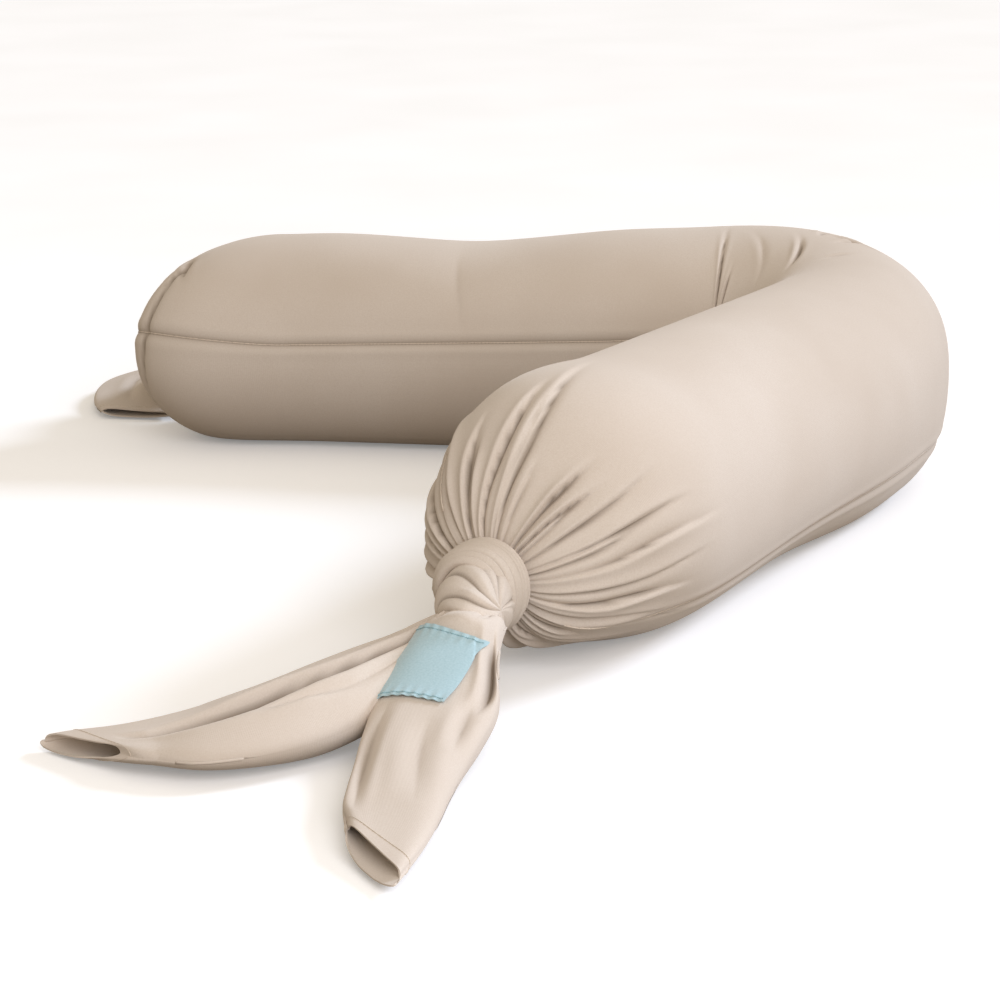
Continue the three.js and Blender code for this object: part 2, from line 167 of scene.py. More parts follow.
@dataclass(frozen=True)
class Stitching:
    """A row of machine stitches, drawn as a thread that thins where it dives into the cloth."""

    radius: float        # of the thread at the middle of a stitch
    lift: float          # of the thread's middle over the cloth
    thin: float          # the share of the radius that is left between two stitches
    power: float         # how suddenly it thins
    turns: Array = field(default_factory=lambda: np.linspace(0.0, 2 * math.pi, 7))

    def skin(self, line: Array, side: Array, up: Array, phase: Array) -> Array:
        """Points round the thread.

        Args:
            line: points on the cloth under the thread.
            side: directions along the cloth, across the thread.
            up: directions out of the cloth.
            phase: half a turn of this angle is one stitch.

        Returns:
            Points, one row for each point of the line.
        """
        size = self.thin + (1.0 - self.thin) * np.abs(np.sin(phase)) ** self.power
        turns = self.turns[None, :, None]
        spokes = np.cos(turns) * side[:, None] + np.sin(turns) * up[:, None]
        return line[:, None] + self.lift * up[:, None] + self.radius * size[:, None, None] * spokes


SEAM_STITCHES = Stitching(0.00065, 0.0004, 0.45, 0.6)
HEM_STITCHES = Stitching(0.00035, 0.0001, 0.35, 0.7)
LABEL_STITCHES = Stitching(0.00045, 0.0002, 0.30, 0.7)
STITCH_LENGTH = 0.0032       # of the cover's seams
LOWEST_THREAD = 0.0001       # height over the floor


# ---- materials ----------------------------------------------------------------------------

WAVE_TURNS = 20.0            # radians of the wave texture's phase in one of its units


def linear(code: str) -> tuple[float, float, float, float]:
    """A linear RGBA colour from an sRGB hex code such as "e3d7c8"."""
    parts = [int(code[i : i + 2], 16) / 255.0 for i in (0, 2, 4)]
    line = [p / 12.92 if p <= 0.04045 else ((p + 0.055) / 1.055) ** 2.4 for p in parts]
    return (line[0], line[1], line[2], 1.0)


def add(material: Material, kind: str, inputs: dict | None = None, **settings: object) -> Node:
    """Adds a node to a material.

    Args:
        material: the material.
        kind: the node's type, without "ShaderNode".
        inputs: socket name or number to a value, or to another node's output socket, which is linked.
        settings: the node's own properties.

    Returns:
        The node.
    """
    tree = material.node_tree
    node = tree.nodes.new("ShaderNode" + kind)
    for name, value in settings.items():
        setattr(node, name, value)
    for name, value in (inputs or {}).items():
        if isinstance(value, Socket):
            tree.links.new(value, node.inputs[name])
        else:
            node.inputs[name].default_value = value
    return node


def new_material(name: str) -> Material:
    """An empty material with nodes.

    Args:
        name: the material's name.

    Returns:
        The material.
    """
    material = bpy.data.materials.new(name)
    material.use_nodes = True
    material.node_tree.nodes.clear()
    return material


def two_tones(
    material: Material, factor: Socket, dark: str, light: str, low: float = 0.0, high: float = 1.0
) -> Socket:
    """A colour between two hex codes, as the factor goes from low to high.

    Args:
        material: the material.
        factor: the socket that chooses.
        dark: the colour at low.
        light: the colour at high.
        low: factor at which the first colour ends.
        high: factor at which the second starts.

    Returns:
        The colour's socket.
    """
    ramp = add(material, "ValToRGB", {"Fac": factor})
    ramp.color_ramp.elements[0].position, ramp.color_ramp.elements[1].position = low, high
    ramp.color_ramp.elements[0].color, ramp.color_ramp.elements[1].color = linear(dark), linear(light)
    return ramp.outputs["Color"]


def noise(material: Material, place: Socket, scale: float, detail: float) -> Socket:
    """Soft random tones at a place.

    Args:
        material: the material.
        place: the coordinates.
        scale: how fine the tones are.
        detail: layers of finer tones.

    Returns:
        The tone, from 0 to 1.
    """
    return add(material, "TexNoise", {"Vector": place, "Scale": scale, "Detail": detail}).outputs["Fac"]


def stripes(
    material: Material, place: Socket, period: float, direction: str, distortion: float,
    detail_scale: float = 1.0,
) -> Socket:
    """Soft lines at a real spacing.

    Args:
        material: the material.
        place: the coordinates, in metres.
        period: distance between two lines, in metres.
        direction: the wave texture's name for the way they repeat.
        distortion: how much they wander.
        detail_scale: how fine the wander is.

    Returns:
        The lines' height, from 0 to 1.
    """
    inputs = {
        "Vector": place, "Scale": 2 * math.pi / period / WAVE_TURNS, "Distortion": distortion,
        "Detail": 1.0, "Detail Scale": detail_scale,
    }
    return add(material, "TexWave", inputs, bands_direction=direction).outputs["Fac"]


def finish_off(
    material: Material, tone: Socket, relief: Socket, strength: float, depth: float, shader: dict,
    invert: bool = False,
) -> Material:
    """Adds the bump, the shader and the output.

    Args:
        material: the material.
        tone: its colour.
        relief: height of its fine relief, from 0 to 1.
        strength: the bump's strength.
        depth: the relief's real depth, in metres.
        shader: the shader's other inputs.
        invert: True where the relief's high values are its low places.

    Returns:
        The material.
    """
    bump = add(material, "Bump", {"Height": relief, "Strength": strength, "Distance": depth}, invert=invert)
    shade = add(
        material, "BsdfPrincipled", {"Base Color": tone, "Normal": bump.outputs["Normal"], **shader}
    )
    add(material, "OutputMaterial", {"Surface": shade.outputs["BSDF"]})
    return material


@dataclass(frozen=True)
class Jersey:
    """Combed cotton single jersey, knitted and brushed: matt, with fine upright wales and a soft nap."""

    name: str = "cotton_jersey_oatmeal"
    light: str = "d5c9bb"
    dark: str = "cbbdad"
    # the painted shade colour, mixed in at the bottom of folds and seam grooves
    deep: str = "7d6c5a"
    wale: float = 0.0012      # real wales are 0.8 mm apart; drawn coarser so that they show
    course: float = 0.0010
    relief: float = 0.00008

    def build(self) -> Material:
        """The material, on the cloth's own UV map."""
        m = new_material(self.name)
        cloth = add(m, "UVMap", uv_map=CLOTH_MAP).outputs["UV"]
        place = add(m, "TexCoord").outputs["Object"]
        # A wale is a column of V-shaped loops, so the course lines are bent into the wale.
        wale = stripes(m, cloth, self.wale, "X", 0.6, 1.5)
        course = stripes(m, cloth, self.course, "Y", 1.2, 2.0)
        nap = add(m, "TexNoise", {"Vector": place, "Scale": 900.0, "Detail": 3.0, "Roughness": 0.6})
        cloud = noise(m, place, 9.0, 2.0)
        knit = add(m, "Math", {0: wale, 1: course}, operation="ADD")
        rough = add(m, "Math", {0: knit.outputs[0], 1: nap.outputs["Fac"]}, operation="ADD")
        mixed = add(m, "Math", {0: cloud, 1: nap.outputs["Fac"]}, operation="MULTIPLY")
        open_tone = two_tones(m, mixed.outputs[0], self.dark, self.light, 0.12, 0.42)
        # Painted shade: cloth deep in a fold or seam groove gets a browner tone, as it sees less of the
        # room.
        fold_shade = add(m, "Attribute", attribute_name=FOLD_SHADE_NAME).outputs["Fac"]
        tone = add(m, "MixRGB", {"Fac": fold_shade, "Color1": open_tone, "Color2": linear(self.deep)}).outputs[0]
        soft = {
            "Sheen Weight": 0.25, "Sheen Roughness": 0.5, "Sheen Tint": linear("fff6ea"),
            "Specular IOR Level": 0.25,
        }
        return finish_off(m, tone, rough.outputs[0], 0.30, self.relief, {"Roughness": 0.93, **soft})


@dataclass(frozen=True)
class Thread:
    """Spun polyester sewing thread, laid in short stitches: a low satin gleam and a fine twist."""

    name: str
    light: str
    dark: str
    twist: float = 0.0008
    relief: float = 0.0001

    def build(self) -> Material:
        """The material, with the twist of the plies on Object coordinates."""
        m = new_material(self.name)
        place = add(m, "TexCoord").outputs["Object"]
        ply = stripes(m, place, self.twist, "DIAGONAL", 1.0)
        tone = two_tones(m, noise(m, place, 1500.0, 2.0), self.dark, self.light, 0.3, 0.7)
        return finish_off(m, tone, ply, 0.4, self.relief, {"Roughness": 0.62, "Sheen Weight": 0.1})


@dataclass(frozen=True)
class SatinTape:
    """Woven polyester label tape: smooth, with a soft gleam, fine ribs across and a closed edge."""

    name: str = "satin_label_tape_pale_aqua"
    light: str = "b4ced4"
    dark: str = "a4c2c8"
    rib: float = 0.0011       # drawn coarser than the real 0.3 mm so that it shows
    relief: float = 0.00008

    def build(self) -> Material:
        """The material, on the label's own UV map."""
        m = new_material(self.name)
        cloth = add(m, "UVMap", uv_map=CLOTH_MAP).outputs["UV"]
        rib = stripes(m, cloth, self.rib, "Y", 0.3)
        tone = two_tones(m, noise(m, cloth, 700.0, 2.0), self.dark, self.light, 0.3, 0.7)
        gleam = {"Roughness": 0.42, "Sheen Weight": 0.2, "Anisotropic": 0.3}
        return finish_off(m, tone, rib, 0.3, self.relief, gleam)


@dataclass(frozen=True)
class PlainWeave:
    """Bleached plain-weave cotton, for the casing: dry and matt, with over-and-under threads."""

    name: str = "plain_weave_cotton_white"
    light: str = "f3efe7"
    dark: str = "e3ddd1"
    thread: float = 0.0012
    relief: float = 0.0001

    def build(self) -> Material:
        """The material, on the cloth's own UV map."""
        m = new_material(self.name)
        cloth = add(m, "UVMap", uv_map=CLOTH_MAP).outputs["UV"]
        weave = add(
            m, "TexChecker",
            {
                "Vector": cloth, "Scale": 1.0 / self.thread, "Color1": linear(self.light),
                "Color2": linear(self.dark),
            },
        )
        slub = noise(m, cloth, 120.0, 3.0)
        tone = add(
            m, "MixRGB", {"Fac": slub, "Color1": weave.outputs["Color"], "Color2": linear(self.light)}
        ).outputs[0]
        return finish_off(
            m, tone, weave.outputs["Fac"], 0.4, self.relief, {"Roughness": 0.88, "Sheen Weight": 0.15}
        )


@dataclass(frozen=True)
class BeadFill:
    """Expanded polystyrene micro-beads: bright white, slightly glossy grains packed together."""

    name: str = "polystyrene_micro_beads"
    light: str = "fafaf7"
    # the painted shade towards the gaps between the beads
    dark: str = "d8d6d0"
    bead: float = 0.0025      # bead diameter; the real ones are 1 to 2.5 mm
    relief: float = 0.0012

    def build(self) -> Material:
        """The material, with packed grains on Object coordinates."""
        m = new_material(self.name)
        place = add(m, "TexCoord").outputs["Object"]
        grain = add(m, "TexVoronoi", {"Vector": place, "Scale": 1.0 / self.bead}).outputs["Distance"]
        # Painted shade: each grain is lightest at its middle and darker towards the gaps between beads.
        tone = two_tones(m, grain, self.light, self.dark, 0.25, 0.8)
        return finish_off(m, tone, grain, 0.9, self.relief, {"Roughness": 0.55}, invert=True)


@dataclass(frozen=True)
class StudioFloor:
    """A matt painted board: nearly white, with the faintest mottle."""

    name: str = "painted_board_white"
    light: str = "fbfaf8"
    dark: str = "f6f5f2"
    bounce: str = "a39a8e"
    glow: float = 0.22

    def build(self) -> Material:
        """The material."""
        m = new_material(self.name)
        place = add(m, "TexCoord").outputs["Object"]
        tone = two_tones(m, noise(m, place, 3.0, 2.0), self.dark, self.light, 0.3, 0.7)
        # Seen directly the board is bright; to the pillow it gives back less light.
        seen = add(m, "LightPath").outputs["Is Camera Ray"]
        given = add(m, "MixRGB", {"Fac": seen, "Color1": linear(self.bounce), "Color2": tone})
        glow = add(m, "Math", {0: seen, 1: self.glow}, operation="MULTIPLY")
        shade = add(
            m, "BsdfPrincipled",
            {
                "Base Color": given.outputs[0], "Roughness": 0.9, "Specular IOR Level": 0.1,
                "Emission Color": linear(self.light), "Emission Strength": glow.outputs[0],
            },
        )
        add(m, "OutputMaterial", {"Surface": shade.outputs["BSDF"]})
        return m


@dataclass
class Wardrobe:
    """Every finish of the pillow, made once."""

    jersey: Material = field(default_factory=lambda: Jersey().build())
    cover_thread: Material = field(
        default_factory=lambda: Thread("polyester_thread_oatmeal", "ddd0bf", "c9b9a5").build()
    )
    label_thread: Material = field(
        default_factory=lambda: Thread("polyester_thread_aqua", "a0bfc5", "83a7ac").build()
    )
    label_tape: Material = field(default_factory=lambda: SatinTape().build())
    casing: Material = field(default_factory=lambda: PlainWeave().build())
    beads: Material = field(default_factory=lambda: BeadFill().build())


# ---- cloth meshes -------------------------------------------------------------------------


class Hold(Enum):
    """How the edges of a grid of cloth are treated."""

    OPEN = "open"        # a panel with four free edges
    TUBE = "tube"        # its first and last columns are sewn together
    SACK = "sack"        # a tube whose end rows are drawn to a point


def cloth_object(
    name: str, points: Array, cloth_uv: Array, material: Material, hold: Hold, path: Array | None = None,
    wall: float = 0.0, painted_shade: Array | None = None,
) -> Object:
    """A mesh of cloth from a grid of points, facing outwards.

    Args:
        name: the piece's name.
        points: rows by columns by 3, in the row frame. The rows of a tube run round its axis.
        cloth_uv: rows by columns by 2, metres over the cloth.
        material: its finish.
        hold: how its edges are closed.
        path: the length along the pillow at each point, kept as an attribute.
        wall: the cloth's thickness, inwards from the points; 0 for a solid piece.
        painted_shade: painted shade at each point, by how deep in a fold it lies, from 0 to 1.

    Returns:
        The object, at the origin.
    """
    rows, columns = points.shape[:2]
    shape = bmesh.new()
    bmesh.ops.create_grid(shape, x_segments=columns - 1, y_segments=rows - 1, size=0.5)
    mesh = bpy.data.meshes.new(name)
    shape.to_mesh(mesh)
    shape.free()
    mesh.vertices.foreach_set("co", points.astype(np.float32).ravel())
    corners = np.zeros(len(mesh.loops), np.int32)
    mesh.loops.foreach_get("vertex_index", corners)
    layer = mesh.uv_layers.new(name=CLOTH_MAP)
    layer.data.foreach_set("uv", cloth_uv.reshape(-1, 2)[corners].astype(np.float32).ravel())
    # Keeps each point's path length and painted fold shade as attributes.
    for title, values in ((PATH_NAME, path), (FOLD_SHADE_NAME, painted_shade)):
        kept = mesh.attributes.new(title, "FLOAT", "POINT")
        kept.data.foreach_set(
            "value", (np.zeros((rows, columns)) if values is None else values).astype(np.float32).ravel()
        )
    shape = bmesh.new()
    shape.from_mesh(mesh)
    if hold is not Hold.OPEN:
        bmesh.ops.remove_doubles(shape, verts=shape.verts, dist=2e-6)
    for edge in shape.edges:
        edge.smooth = not edge.is_boundary
    for face in shape.faces:
        face.smooth = True
    middle = points.mean(axis=1) if hold is not Hold.OPEN else None
    if middle is not None:
        probe, checked = 0.0, list(shape.faces)[:: max(1, len(shape.faces) // 400)]
        for face in checked:
            face.normal_update()
            centre = np.array(face.calc_center_median())
            near = middle[np.argmin(((middle - centre) ** 2).sum(axis=1))]
            probe += float(np.dot(np.array(face.normal), centre - near))
        if probe < 0:
            bmesh.ops.reverse_faces(shape, faces=shape.faces)
    shape.to_mesh(mesh)
    shape.free()
    mesh.materials.append(material)
    obj = bpy.data.objects.new(name, mesh)
    bpy.context.scene.collection.objects.link(obj)
    if wall > 0:
        shell = obj.modifiers.new("cloth_thickness", "SOLIDIFY")
        shell.thickness, shell.offset, shell.use_rim, shell.use_even_offset = wall, -1.0, True, False
    return obj


def bend_between(obj: Object, first: str, second: str, start: float, end: float) -> None:
    """Lays a piece's points out straight along the pillow's path and back.

    The points are set at their lengths along the path, where the cloth lies straight, the object's
    transform is baked into the mesh, and the points then go back to their places.

    Args:
        obj: the piece.
        first: the body before the bend; not used.
        second: the body after the bend; not used.
        start: length along the path where the bend starts; not used.
        end: length along the path where it ends; not used.
    """
    mesh = obj.data
    count = len(mesh.vertices)
    places, lengths = np.zeros(count * 3, np.float32), np.zeros(count, np.float32)
    mesh.vertices.foreach_get("co", places)
    mesh.attributes[PATH_NAME].data.foreach_get("value", lengths)
    straight = np.zeros((count, 3), np.float32)
    straight[:, 0] = lengths
    mesh.vertices.foreach_set("co", straight.ravel())
    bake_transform(obj)
    mesh.vertices.foreach_set("co", places)
    mesh.update()


def stand_in(obj: Object, slot: str, *nodes: str) -> None:
    """Hides the CAD nodes that a piece stands for, and reports the piece."""
    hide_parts(*nodes)
    LOG.info("made %s", obj.name)


# ---- the tube's shape ---------------------------------------------------------------------


@dataclass(frozen=True)
class Swell:
    """A broad rise or hollow of the filled tube."""

    path: float
    turn: float          # degrees round the tube from the inner seam, over the top
    height: float
    reach: float         # along the path
    spread: float        # degrees round the tube

    def height_at(self, s: Array, turn: Array) -> Array:
        """Its height over the grid."""
        gap = (np.degrees(turn) - self.turn + 180.0) % 360.0 - 180.0
        return self.height * hump(s - self.path, self.reach) * hump(gap, self.spread)


@dataclass(frozen=True)
class Crease:
    """A fold across the tube, where the bend pushes the cloth together."""

    path: float
    turn: float
    depth: float
    width: float         # along the path
    spread: float        # degrees round the tube
    slant: float = 0.0   # along the path, per 60 degrees round

    def height_at(self, s: Array, turn: Array) -> Array:
        """Its depth over the grid, with a lip on each side.

        Args:
            s: lengths along the path.
            turn: angles round the tube.

        Returns:
            Heights, below zero in the fold.
        """
        gap = (np.degrees(turn) - self.turn + 180.0) % 360.0 - 180.0
        across = s - self.path - self.slant * gap / 60.0 - 0.15 * self.width * np.sin(gap / 9.0)
        high = 0.28 * hump(across - 2.4 * self.width, 1.7 * self.width)
        low = 0.12 * hump(across + 2.6 * self.width, 1.9 * self.width)
        fold = high + low - np.exp(-np.abs(across) / self.width)
        return self.depth * fold * hump(gap, self.spread)


@dataclass(frozen=True)
class Gather:
    """The pleats into which a neck draws the cover."""

    pleats: int
    seed: int
    longest: float       # how far the longest pleat runs over the rounded end
    depth: float
    broadest: float = 0.017        # of the cloth taken into one pleat
    fewest: float = 7.0            # pleats that share the cloth, at the least
    jitter: float = 0.36           # share of the even spacing by which they are off
    sway: float = 0.09             # radians by which a pleat leaves its line
    sway_length: float = 0.12      # over this distance
    wobble: float = 0.014          # radians of a pleat's own small waves
    wobble_length: float = 0.017

    def height_at(self, along: Array, turn: Array, radius: Array) -> Array:
        """The pleats' height over the grid.

        Args:
            along: distance from the neck over the surface, rows by 1.
            turn: angle round the tube.
            radius: the tube's radius, rows by 1.

        Returns:
            Heights, rows by columns.
        """
        rng = np.random.default_rng(self.seed)
        start = 2 * math.pi * (
            np.arange(self.pleats) + rng.uniform(-self.jitter, self.jitter, self.pleats)
        ) / self.pleats
        reach = self.longest * np.clip(rng.lognormal(-0.42, 0.38, self.pleats), 0.30, 1.0)
        strength = rng.uniform(0.50, 1.20, self.pleats)
        sway = rng.normal(0.0, self.sway, self.pleats)
        lean = rng.choice([-1.0, 1.0], self.pleats, p=[0.65, 0.35])
        wave = rng.uniform(0.0, 2 * math.pi, self.pleats)
        fade = [1.0 - smooth(along, 0.50 * r, r) for r in reach]
        living = np.maximum(sum(fade), self.fewest)
        spacing = 2 * math.pi * np.maximum(radius, 0.012) / living
        height = np.zeros(np.broadcast(along, turn).shape)
        for i in range(self.pleats):
            wobble = self.wobble * np.sin(along / self.wobble_length + wave[i]) * smooth(along, 0.01, 0.06)
            middle = start[i] + sway[i] * (along / self.sway_length) ** 1.15 + wobble
            across = wrapped(turn - middle) * radius * lean[i]
            broad = np.minimum(spacing, self.broadest)
            sharp = np.exp(-np.abs(across) / (0.06 * broad + 0.0004))
            rise = np.maximum(across, 0.0) / (0.15 * broad)
            ridge = rise * np.exp(1.0 - rise)
            valley = hump(across + 0.10 * broad, 0.22 * broad)
            uneven = 1.0 + 0.20 * np.sin(along / 0.021 + 2 * wave[i])
            deep = np.minimum(self.depth, 0.50 * broad) * strength[i] * fade[i] * uneven
            height += deep * (-0.65 * sharp + 0.72 * ridge - 0.36 * valley)
        return height


@dataclass(frozen=True)
class Tube:
    """The filled tube: its path in plan, its cross-sections and the folds of its cover."""

    near_radius: float = 0.100
    far_radius: float = 0.093
    near_length: float = 0.530
    near_heading: float = 60.0
    elbow_radius: float = 0.114
    elbow_turn: float = 110.0
    far_length: float = 0.375
    end_length: float = 0.125
    end_turn: float = 45.0
    sag: float = 0.006
    near_dome: float = 0.129
    far_dome: float = 0.106
    dome_power: float = 2.2
    neck_radius: float = 0.0165
    neck_length: float = 0.018
    near_neck_height: float = 0.070
    far_neck_height: float = 0.066
    near_neck_side: float = 0.015
    near_tilt: float = -38.0
    far_tilt: float = -15.0
    seam_depth: float = 0.0022
    seam_width: float = 0.0030
    swells: tuple[Swell, ...] = (
        Swell(0.690, 92, 0.0150, 0.105, 50),
        Swell(0.830, 88, 0.0060, 0.070, 45),
        Swell(0.585, 152, -0.0085, 0.090, 32),
        Swell(0.470, 208, 0.0060, 0.100, 28),
        Swell(0.300, 200, -0.0035, 0.110, 34),
        Swell(1.095, 75, 0.0040, 0.060, 40),
        Swell(0.968, 68, -0.0035, 0.048, 42),
        Swell(0.860, 20, 0.0025, 0.060, 45),
        Swell(1.190, -6, 0.0310, 0.042, 55),
        Swell(0.070, 32, 0.0085, 0.055, 46),
        Swell(0.045, 215, -0.0150, 0.070, 46),
    )
    creases: tuple[Crease, ...] = (
        Crease(0.7330, 32, 0.0060, 0.0018, 26, 0.012),
        Crease(0.7135, 22, 0.0045, 0.0018, 9, 0.006),
        Crease(0.6780, 44, 0.0016, 0.0036, 15, 0.100),
        Crease(0.6380, 51, 0.0062, 0.0030, 9, 0.125),
        Crease(0.6640, 77, 0.0045, 0.0022, 4, 0.060),
        Crease(0.6370, 81, 0.0060, 0.0032, 4, -0.160),
        Crease(0.6340, 76, 0.0045, 0.0018, 5, 0.004),
        Crease(0.5950, 62, 0.0022, 0.0022, 6, 0.010),
        Crease(1.1960, 4, 0.0048, 0.0024, 34, -0.012),
        Crease(1.1890, 36, 0.0055, 0.0020, 8, 0.030),
        Crease(1.1930, 30, 0.0045, 0.0018, 6, -0.030),
        Crease(0.9680, 30, 0.0014, 0.0080, 30, 0.012),
    )
    near_gather: Gather = Gather(36, 11, 0.168, 0.0062)
    far_gather: Gather = Gather(26, 5, 0.120, 0.0070)

    @property
    def elbow_end(self) -> float:
        """Length along the path where the elbow ends."""
        return self.near_length + self.elbow_radius * math.radians(self.elbow_turn)

    @property
    def far_start(self) -> float:
        """Length along the path where the far arm's end starts to turn."""
        return self.elbow_end + self.far_length

    @property
    def total(self) -> float:
        """Length of the path from neck to neck."""
        return self.far_start + self.end_length

    def elbow_centre(self) -> Array:
        """The middle of the elbow's bend in plan, from the first fold's place."""
        fold = next(j for j in frame["joints"] if j["name"] == "elbow_bend_1")["pos_m"]
        heading = math.radians(self.near_heading)
        return np.array(
            [
                fold[0] - self.elbow_radius * math.sin(heading),
                fold[1] + self.elbow_radius * math.cos(heading),
            ]
        )

    def plan(self, s: Array) -> tuple[Array, Array, Array]:
        """The path in plan.

        Args:
            s: lengths along the path.

        Returns:
            x, y and the heading in radians.
        """
        s = np.asarray(s, float)
        centre = self.elbow_centre()
        first = math.radians(self.near_heading)
        tip_radius = self.end_length / math.radians(self.end_turn)
        straight = np.minimum(s, self.near_length) - self.near_length
        bend = np.clip(s - self.near_length, 0.0, self.elbow_end - self.near_length)
        far = np.clip(s - self.elbow_end, 0.0, self.far_length)
        tip = np.clip(s - self.far_start, 0.0, self.end_length)
        beyond = np.maximum(s - self.total, 0.0)
        arm = first + bend / self.elbow_radius
        last = arm - tip / tip_radius
        x = centre[0] + straight * math.cos(first) + self.elbow_radius * np.sin(arm) + far * np.cos(arm)
        y = centre[1] + straight * math.sin(first) - self.elbow_radius * np.cos(arm) + far * np.sin(arm)
        x = x - tip_radius * (np.sin(last) - np.sin(arm)) + beyond * np.cos(last)
        y = y + tip_radius * (np.cos(last) - np.cos(arm)) + beyond * np.sin(last)
        return x, y, last

    def section(self, s: Array) -> tuple[Array, Array, Array, Array]:
        """Height and sideways place of the tube's axis, its radius and its seams' tilt, at lengths s.

        Args:
            s: lengths along the path.

        Returns:
            The four values at each length.
        """
        s = np.asarray(s, float)
        along = np.clip(s / self.total, 0.0, 1.0)
        full = self.near_radius + (self.far_radius - self.near_radius) * along
        near = np.clip(s / self.near_dome, 0.0, 1.0)
        far = np.clip((self.total - s) / self.far_dome, 0.0, 1.0)
        share = np.minimum(near, far)
        dome = (1.0 - (1.0 - share) ** self.dome_power) ** (1.0 / self.dome_power)
        radius = self.neck_radius + (full - self.neck_radius) * dome
        rest = full - self.sag
        near_drop, far_drop = (1.0 - near) ** 2, (1.0 - far) ** 2
        height = (
            rest + (self.near_neck_height - rest) * near_drop + (self.far_neck_height - rest) * far_drop
        )
        tilt = np.radians(self.near_tilt + (self.far_tilt - self.near_tilt) * along)
        tilt = tilt + math.radians(8.0) * smooth(s, 0.60, 0.85) * (1.0 - smooth(s, 1.12, 1.24))
        return height, self.near_neck_side * near_drop, radius, tilt

    def skin(self, s: Array, turn: Array, lift: Array) -> Array:
        """Points of the tube, with a height added outwards from its axis.

        Args:
            s: lengths along the path.
            turn: angles round the tube, from the inner seam over the top.
            lift: heights over the plain tube.

        Returns:
            Points, the grids' shape by 3.
        """
        x, y, heading = self.plan(s)
        height, side, radius, tilt = self.section(s)
        angle = turn - tilt
        across = side + (radius + lift) * np.cos(angle)
        z = height + (radius + lift) * np.sin(angle)
        return grid(x - np.sin(heading) * across, y + np.cos(heading) * across, z)


@dataclass
class Layer:
    """One layer of the tube as a fine grid: points, normals, cloth coordinates and painted fold shade."""

    s: Array
    along: Array
    turn: Array
    points: Array
    normals: Array
    cloth: Array
    painted_shade: Array


def path_rows(
    tube: Tube, first: float, last: float, step: float, cuts: tuple[float, ...]
) -> tuple[Array, Array]:
    """Lengths along the path for the rows of a layer, evenly spaced over its surface.

    Args:
        tube: the tube.
        first: where the layer starts.
        last: where it ends.
        step: distance between rows, over the surface.
        cuts: lengths at which a row has to lie.

    Returns:
        The lengths, and the distance over the surface from the near neck.
    """
    fine = np.linspace(first, last, 40001)
    radius = tube.section(fine)[2]
    over = np.concatenate([[0.0], np.cumsum(np.hypot(np.diff(fine), np.diff(radius)))])
    marks = [0.0, *np.interp(cuts, fine, over), over[-1]]
    places = [np.linspace(a, b, max(2, round((b - a) / step)) + 1)[:-1] for a, b in zip(marks, marks[1:])]
    spread = np.append(np.concatenate(places), over[-1])
    return np.interp(spread, over, fine), spread


def smooth_rows(values: Array, passes: int) -> Array:
    """The grid smoothed along its rows."""
    for _ in range(passes):
        values = np.concatenate(
            [values[:1], (values[:-2] + 2 * values[1:-1] + values[2:]) / 4.0, values[-1:]]
        )
    return values


GIRTH_RADIUS = 0.097         # middling radius of the tube, for the cloth's width
COVER_STEP, COVER_COLUMNS = 0.0021, 360      # rows this far apart, and points round the tube
INSIDE_STEP, INSIDE_COLUMNS = 0.005, 120
COVER_WALL, LABEL_WALL = 0.0012, 0.0006      # thickness of the cloth


def weave_layer(
    tube: Tube, first: float, last: float, step: float, columns: int, cuts: tuple[float, ...], depth: float,
    detail: float,
) -> Layer:
    """Builds one layer of the tube.

    Args:
        tube: the tube.
        first: where the layer starts along the path.
        last: where it ends.
        step: distance between its rows.
        columns: points round it.
        cuts: lengths at which a row has to lie.
        depth: how far the layer lies under the cover's outside.
        detail: the share of the cover's folds that it takes.

    Returns:
        The layer.
    """
    s, along = path_rows(tube, first, last, step, cuts)
    turn = np.linspace(0.0, 2 * math.pi, columns + 1)[None, :]
    rows = s[:, None]
    base = tube.skin(rows, turn, np.zeros((len(s), columns + 1)))
    normal = surface_normals(base, True)
    x, y, _ = tube.plan(s)
    axis = np.stack([x, y, tube.section(s)[0]], axis=-1)[:, None, :]
    if ((base - axis) * normal).sum() < 0:
        normal = -normal
    radius = tube.section(rows)[2]
    near_over = np.maximum(along - tube.neck_length, 0.0)[:, None]
    far_over = np.maximum(along[-1] - tube.neck_length - along, 0.0)[:, None]
    folds = tube.near_gather.height_at(near_over, turn, radius)
    folds = folds + tube.far_gather.height_at(far_over, turn + 1.0, radius)
    for crease in tube.creases:
        folds = folds + crease.height_at(rows, turn)
    # Painted shade: a darker colour where the cloth lies deep in a pleat or crease.
    painted_shade = 0.75 * smooth(-folds, 0.0004, 0.0042)
    for swell in tube.swells:
        folds = folds + swell.height_at(rows, turn)
    seam = np.minimum(np.abs(wrapped(turn)), np.abs(turn - math.pi)) * radius
    groove = tube.seam_depth * (0.35 * hump(seam - 0.007, 0.0045) - np.exp(-seam / tube.seam_width))
    sewn = smooth(near_over, 0.02, 0.09) * smooth(far_over, 0.02, 0.07)
    folds = folds + groove * sewn
    # Painted shade: a darker colour along the seam grooves.
    painted_shade = np.maximum(painted_shade, 0.65 * np.exp(-seam / 0.0016) * sewn)
    points = base + normal * (detail * folds - depth)[..., None]
    points[..., 2] = soft_floor(points[..., 2], depth, 0.006)
    points[:, -1] = points[:, 0]
    normal = surface_normals(points, True)
    if ((points - axis) * normal).sum() < 0:
        normal = -normal
    cloth = grid(turn * GIRTH_RADIUS, along[:, None])
    return Layer(s, along, turn[0], points, normal, cloth, painted_shade)


@dataclass(frozen=True)
class Stretch:
    """A stretch of the tube between the middles of two elbow wedges."""

    name: str
    bodies: tuple[str, str]
    start: float
    end: float
    bend_start: float
    bend_end: float
    stands_for: tuple[str, ...]


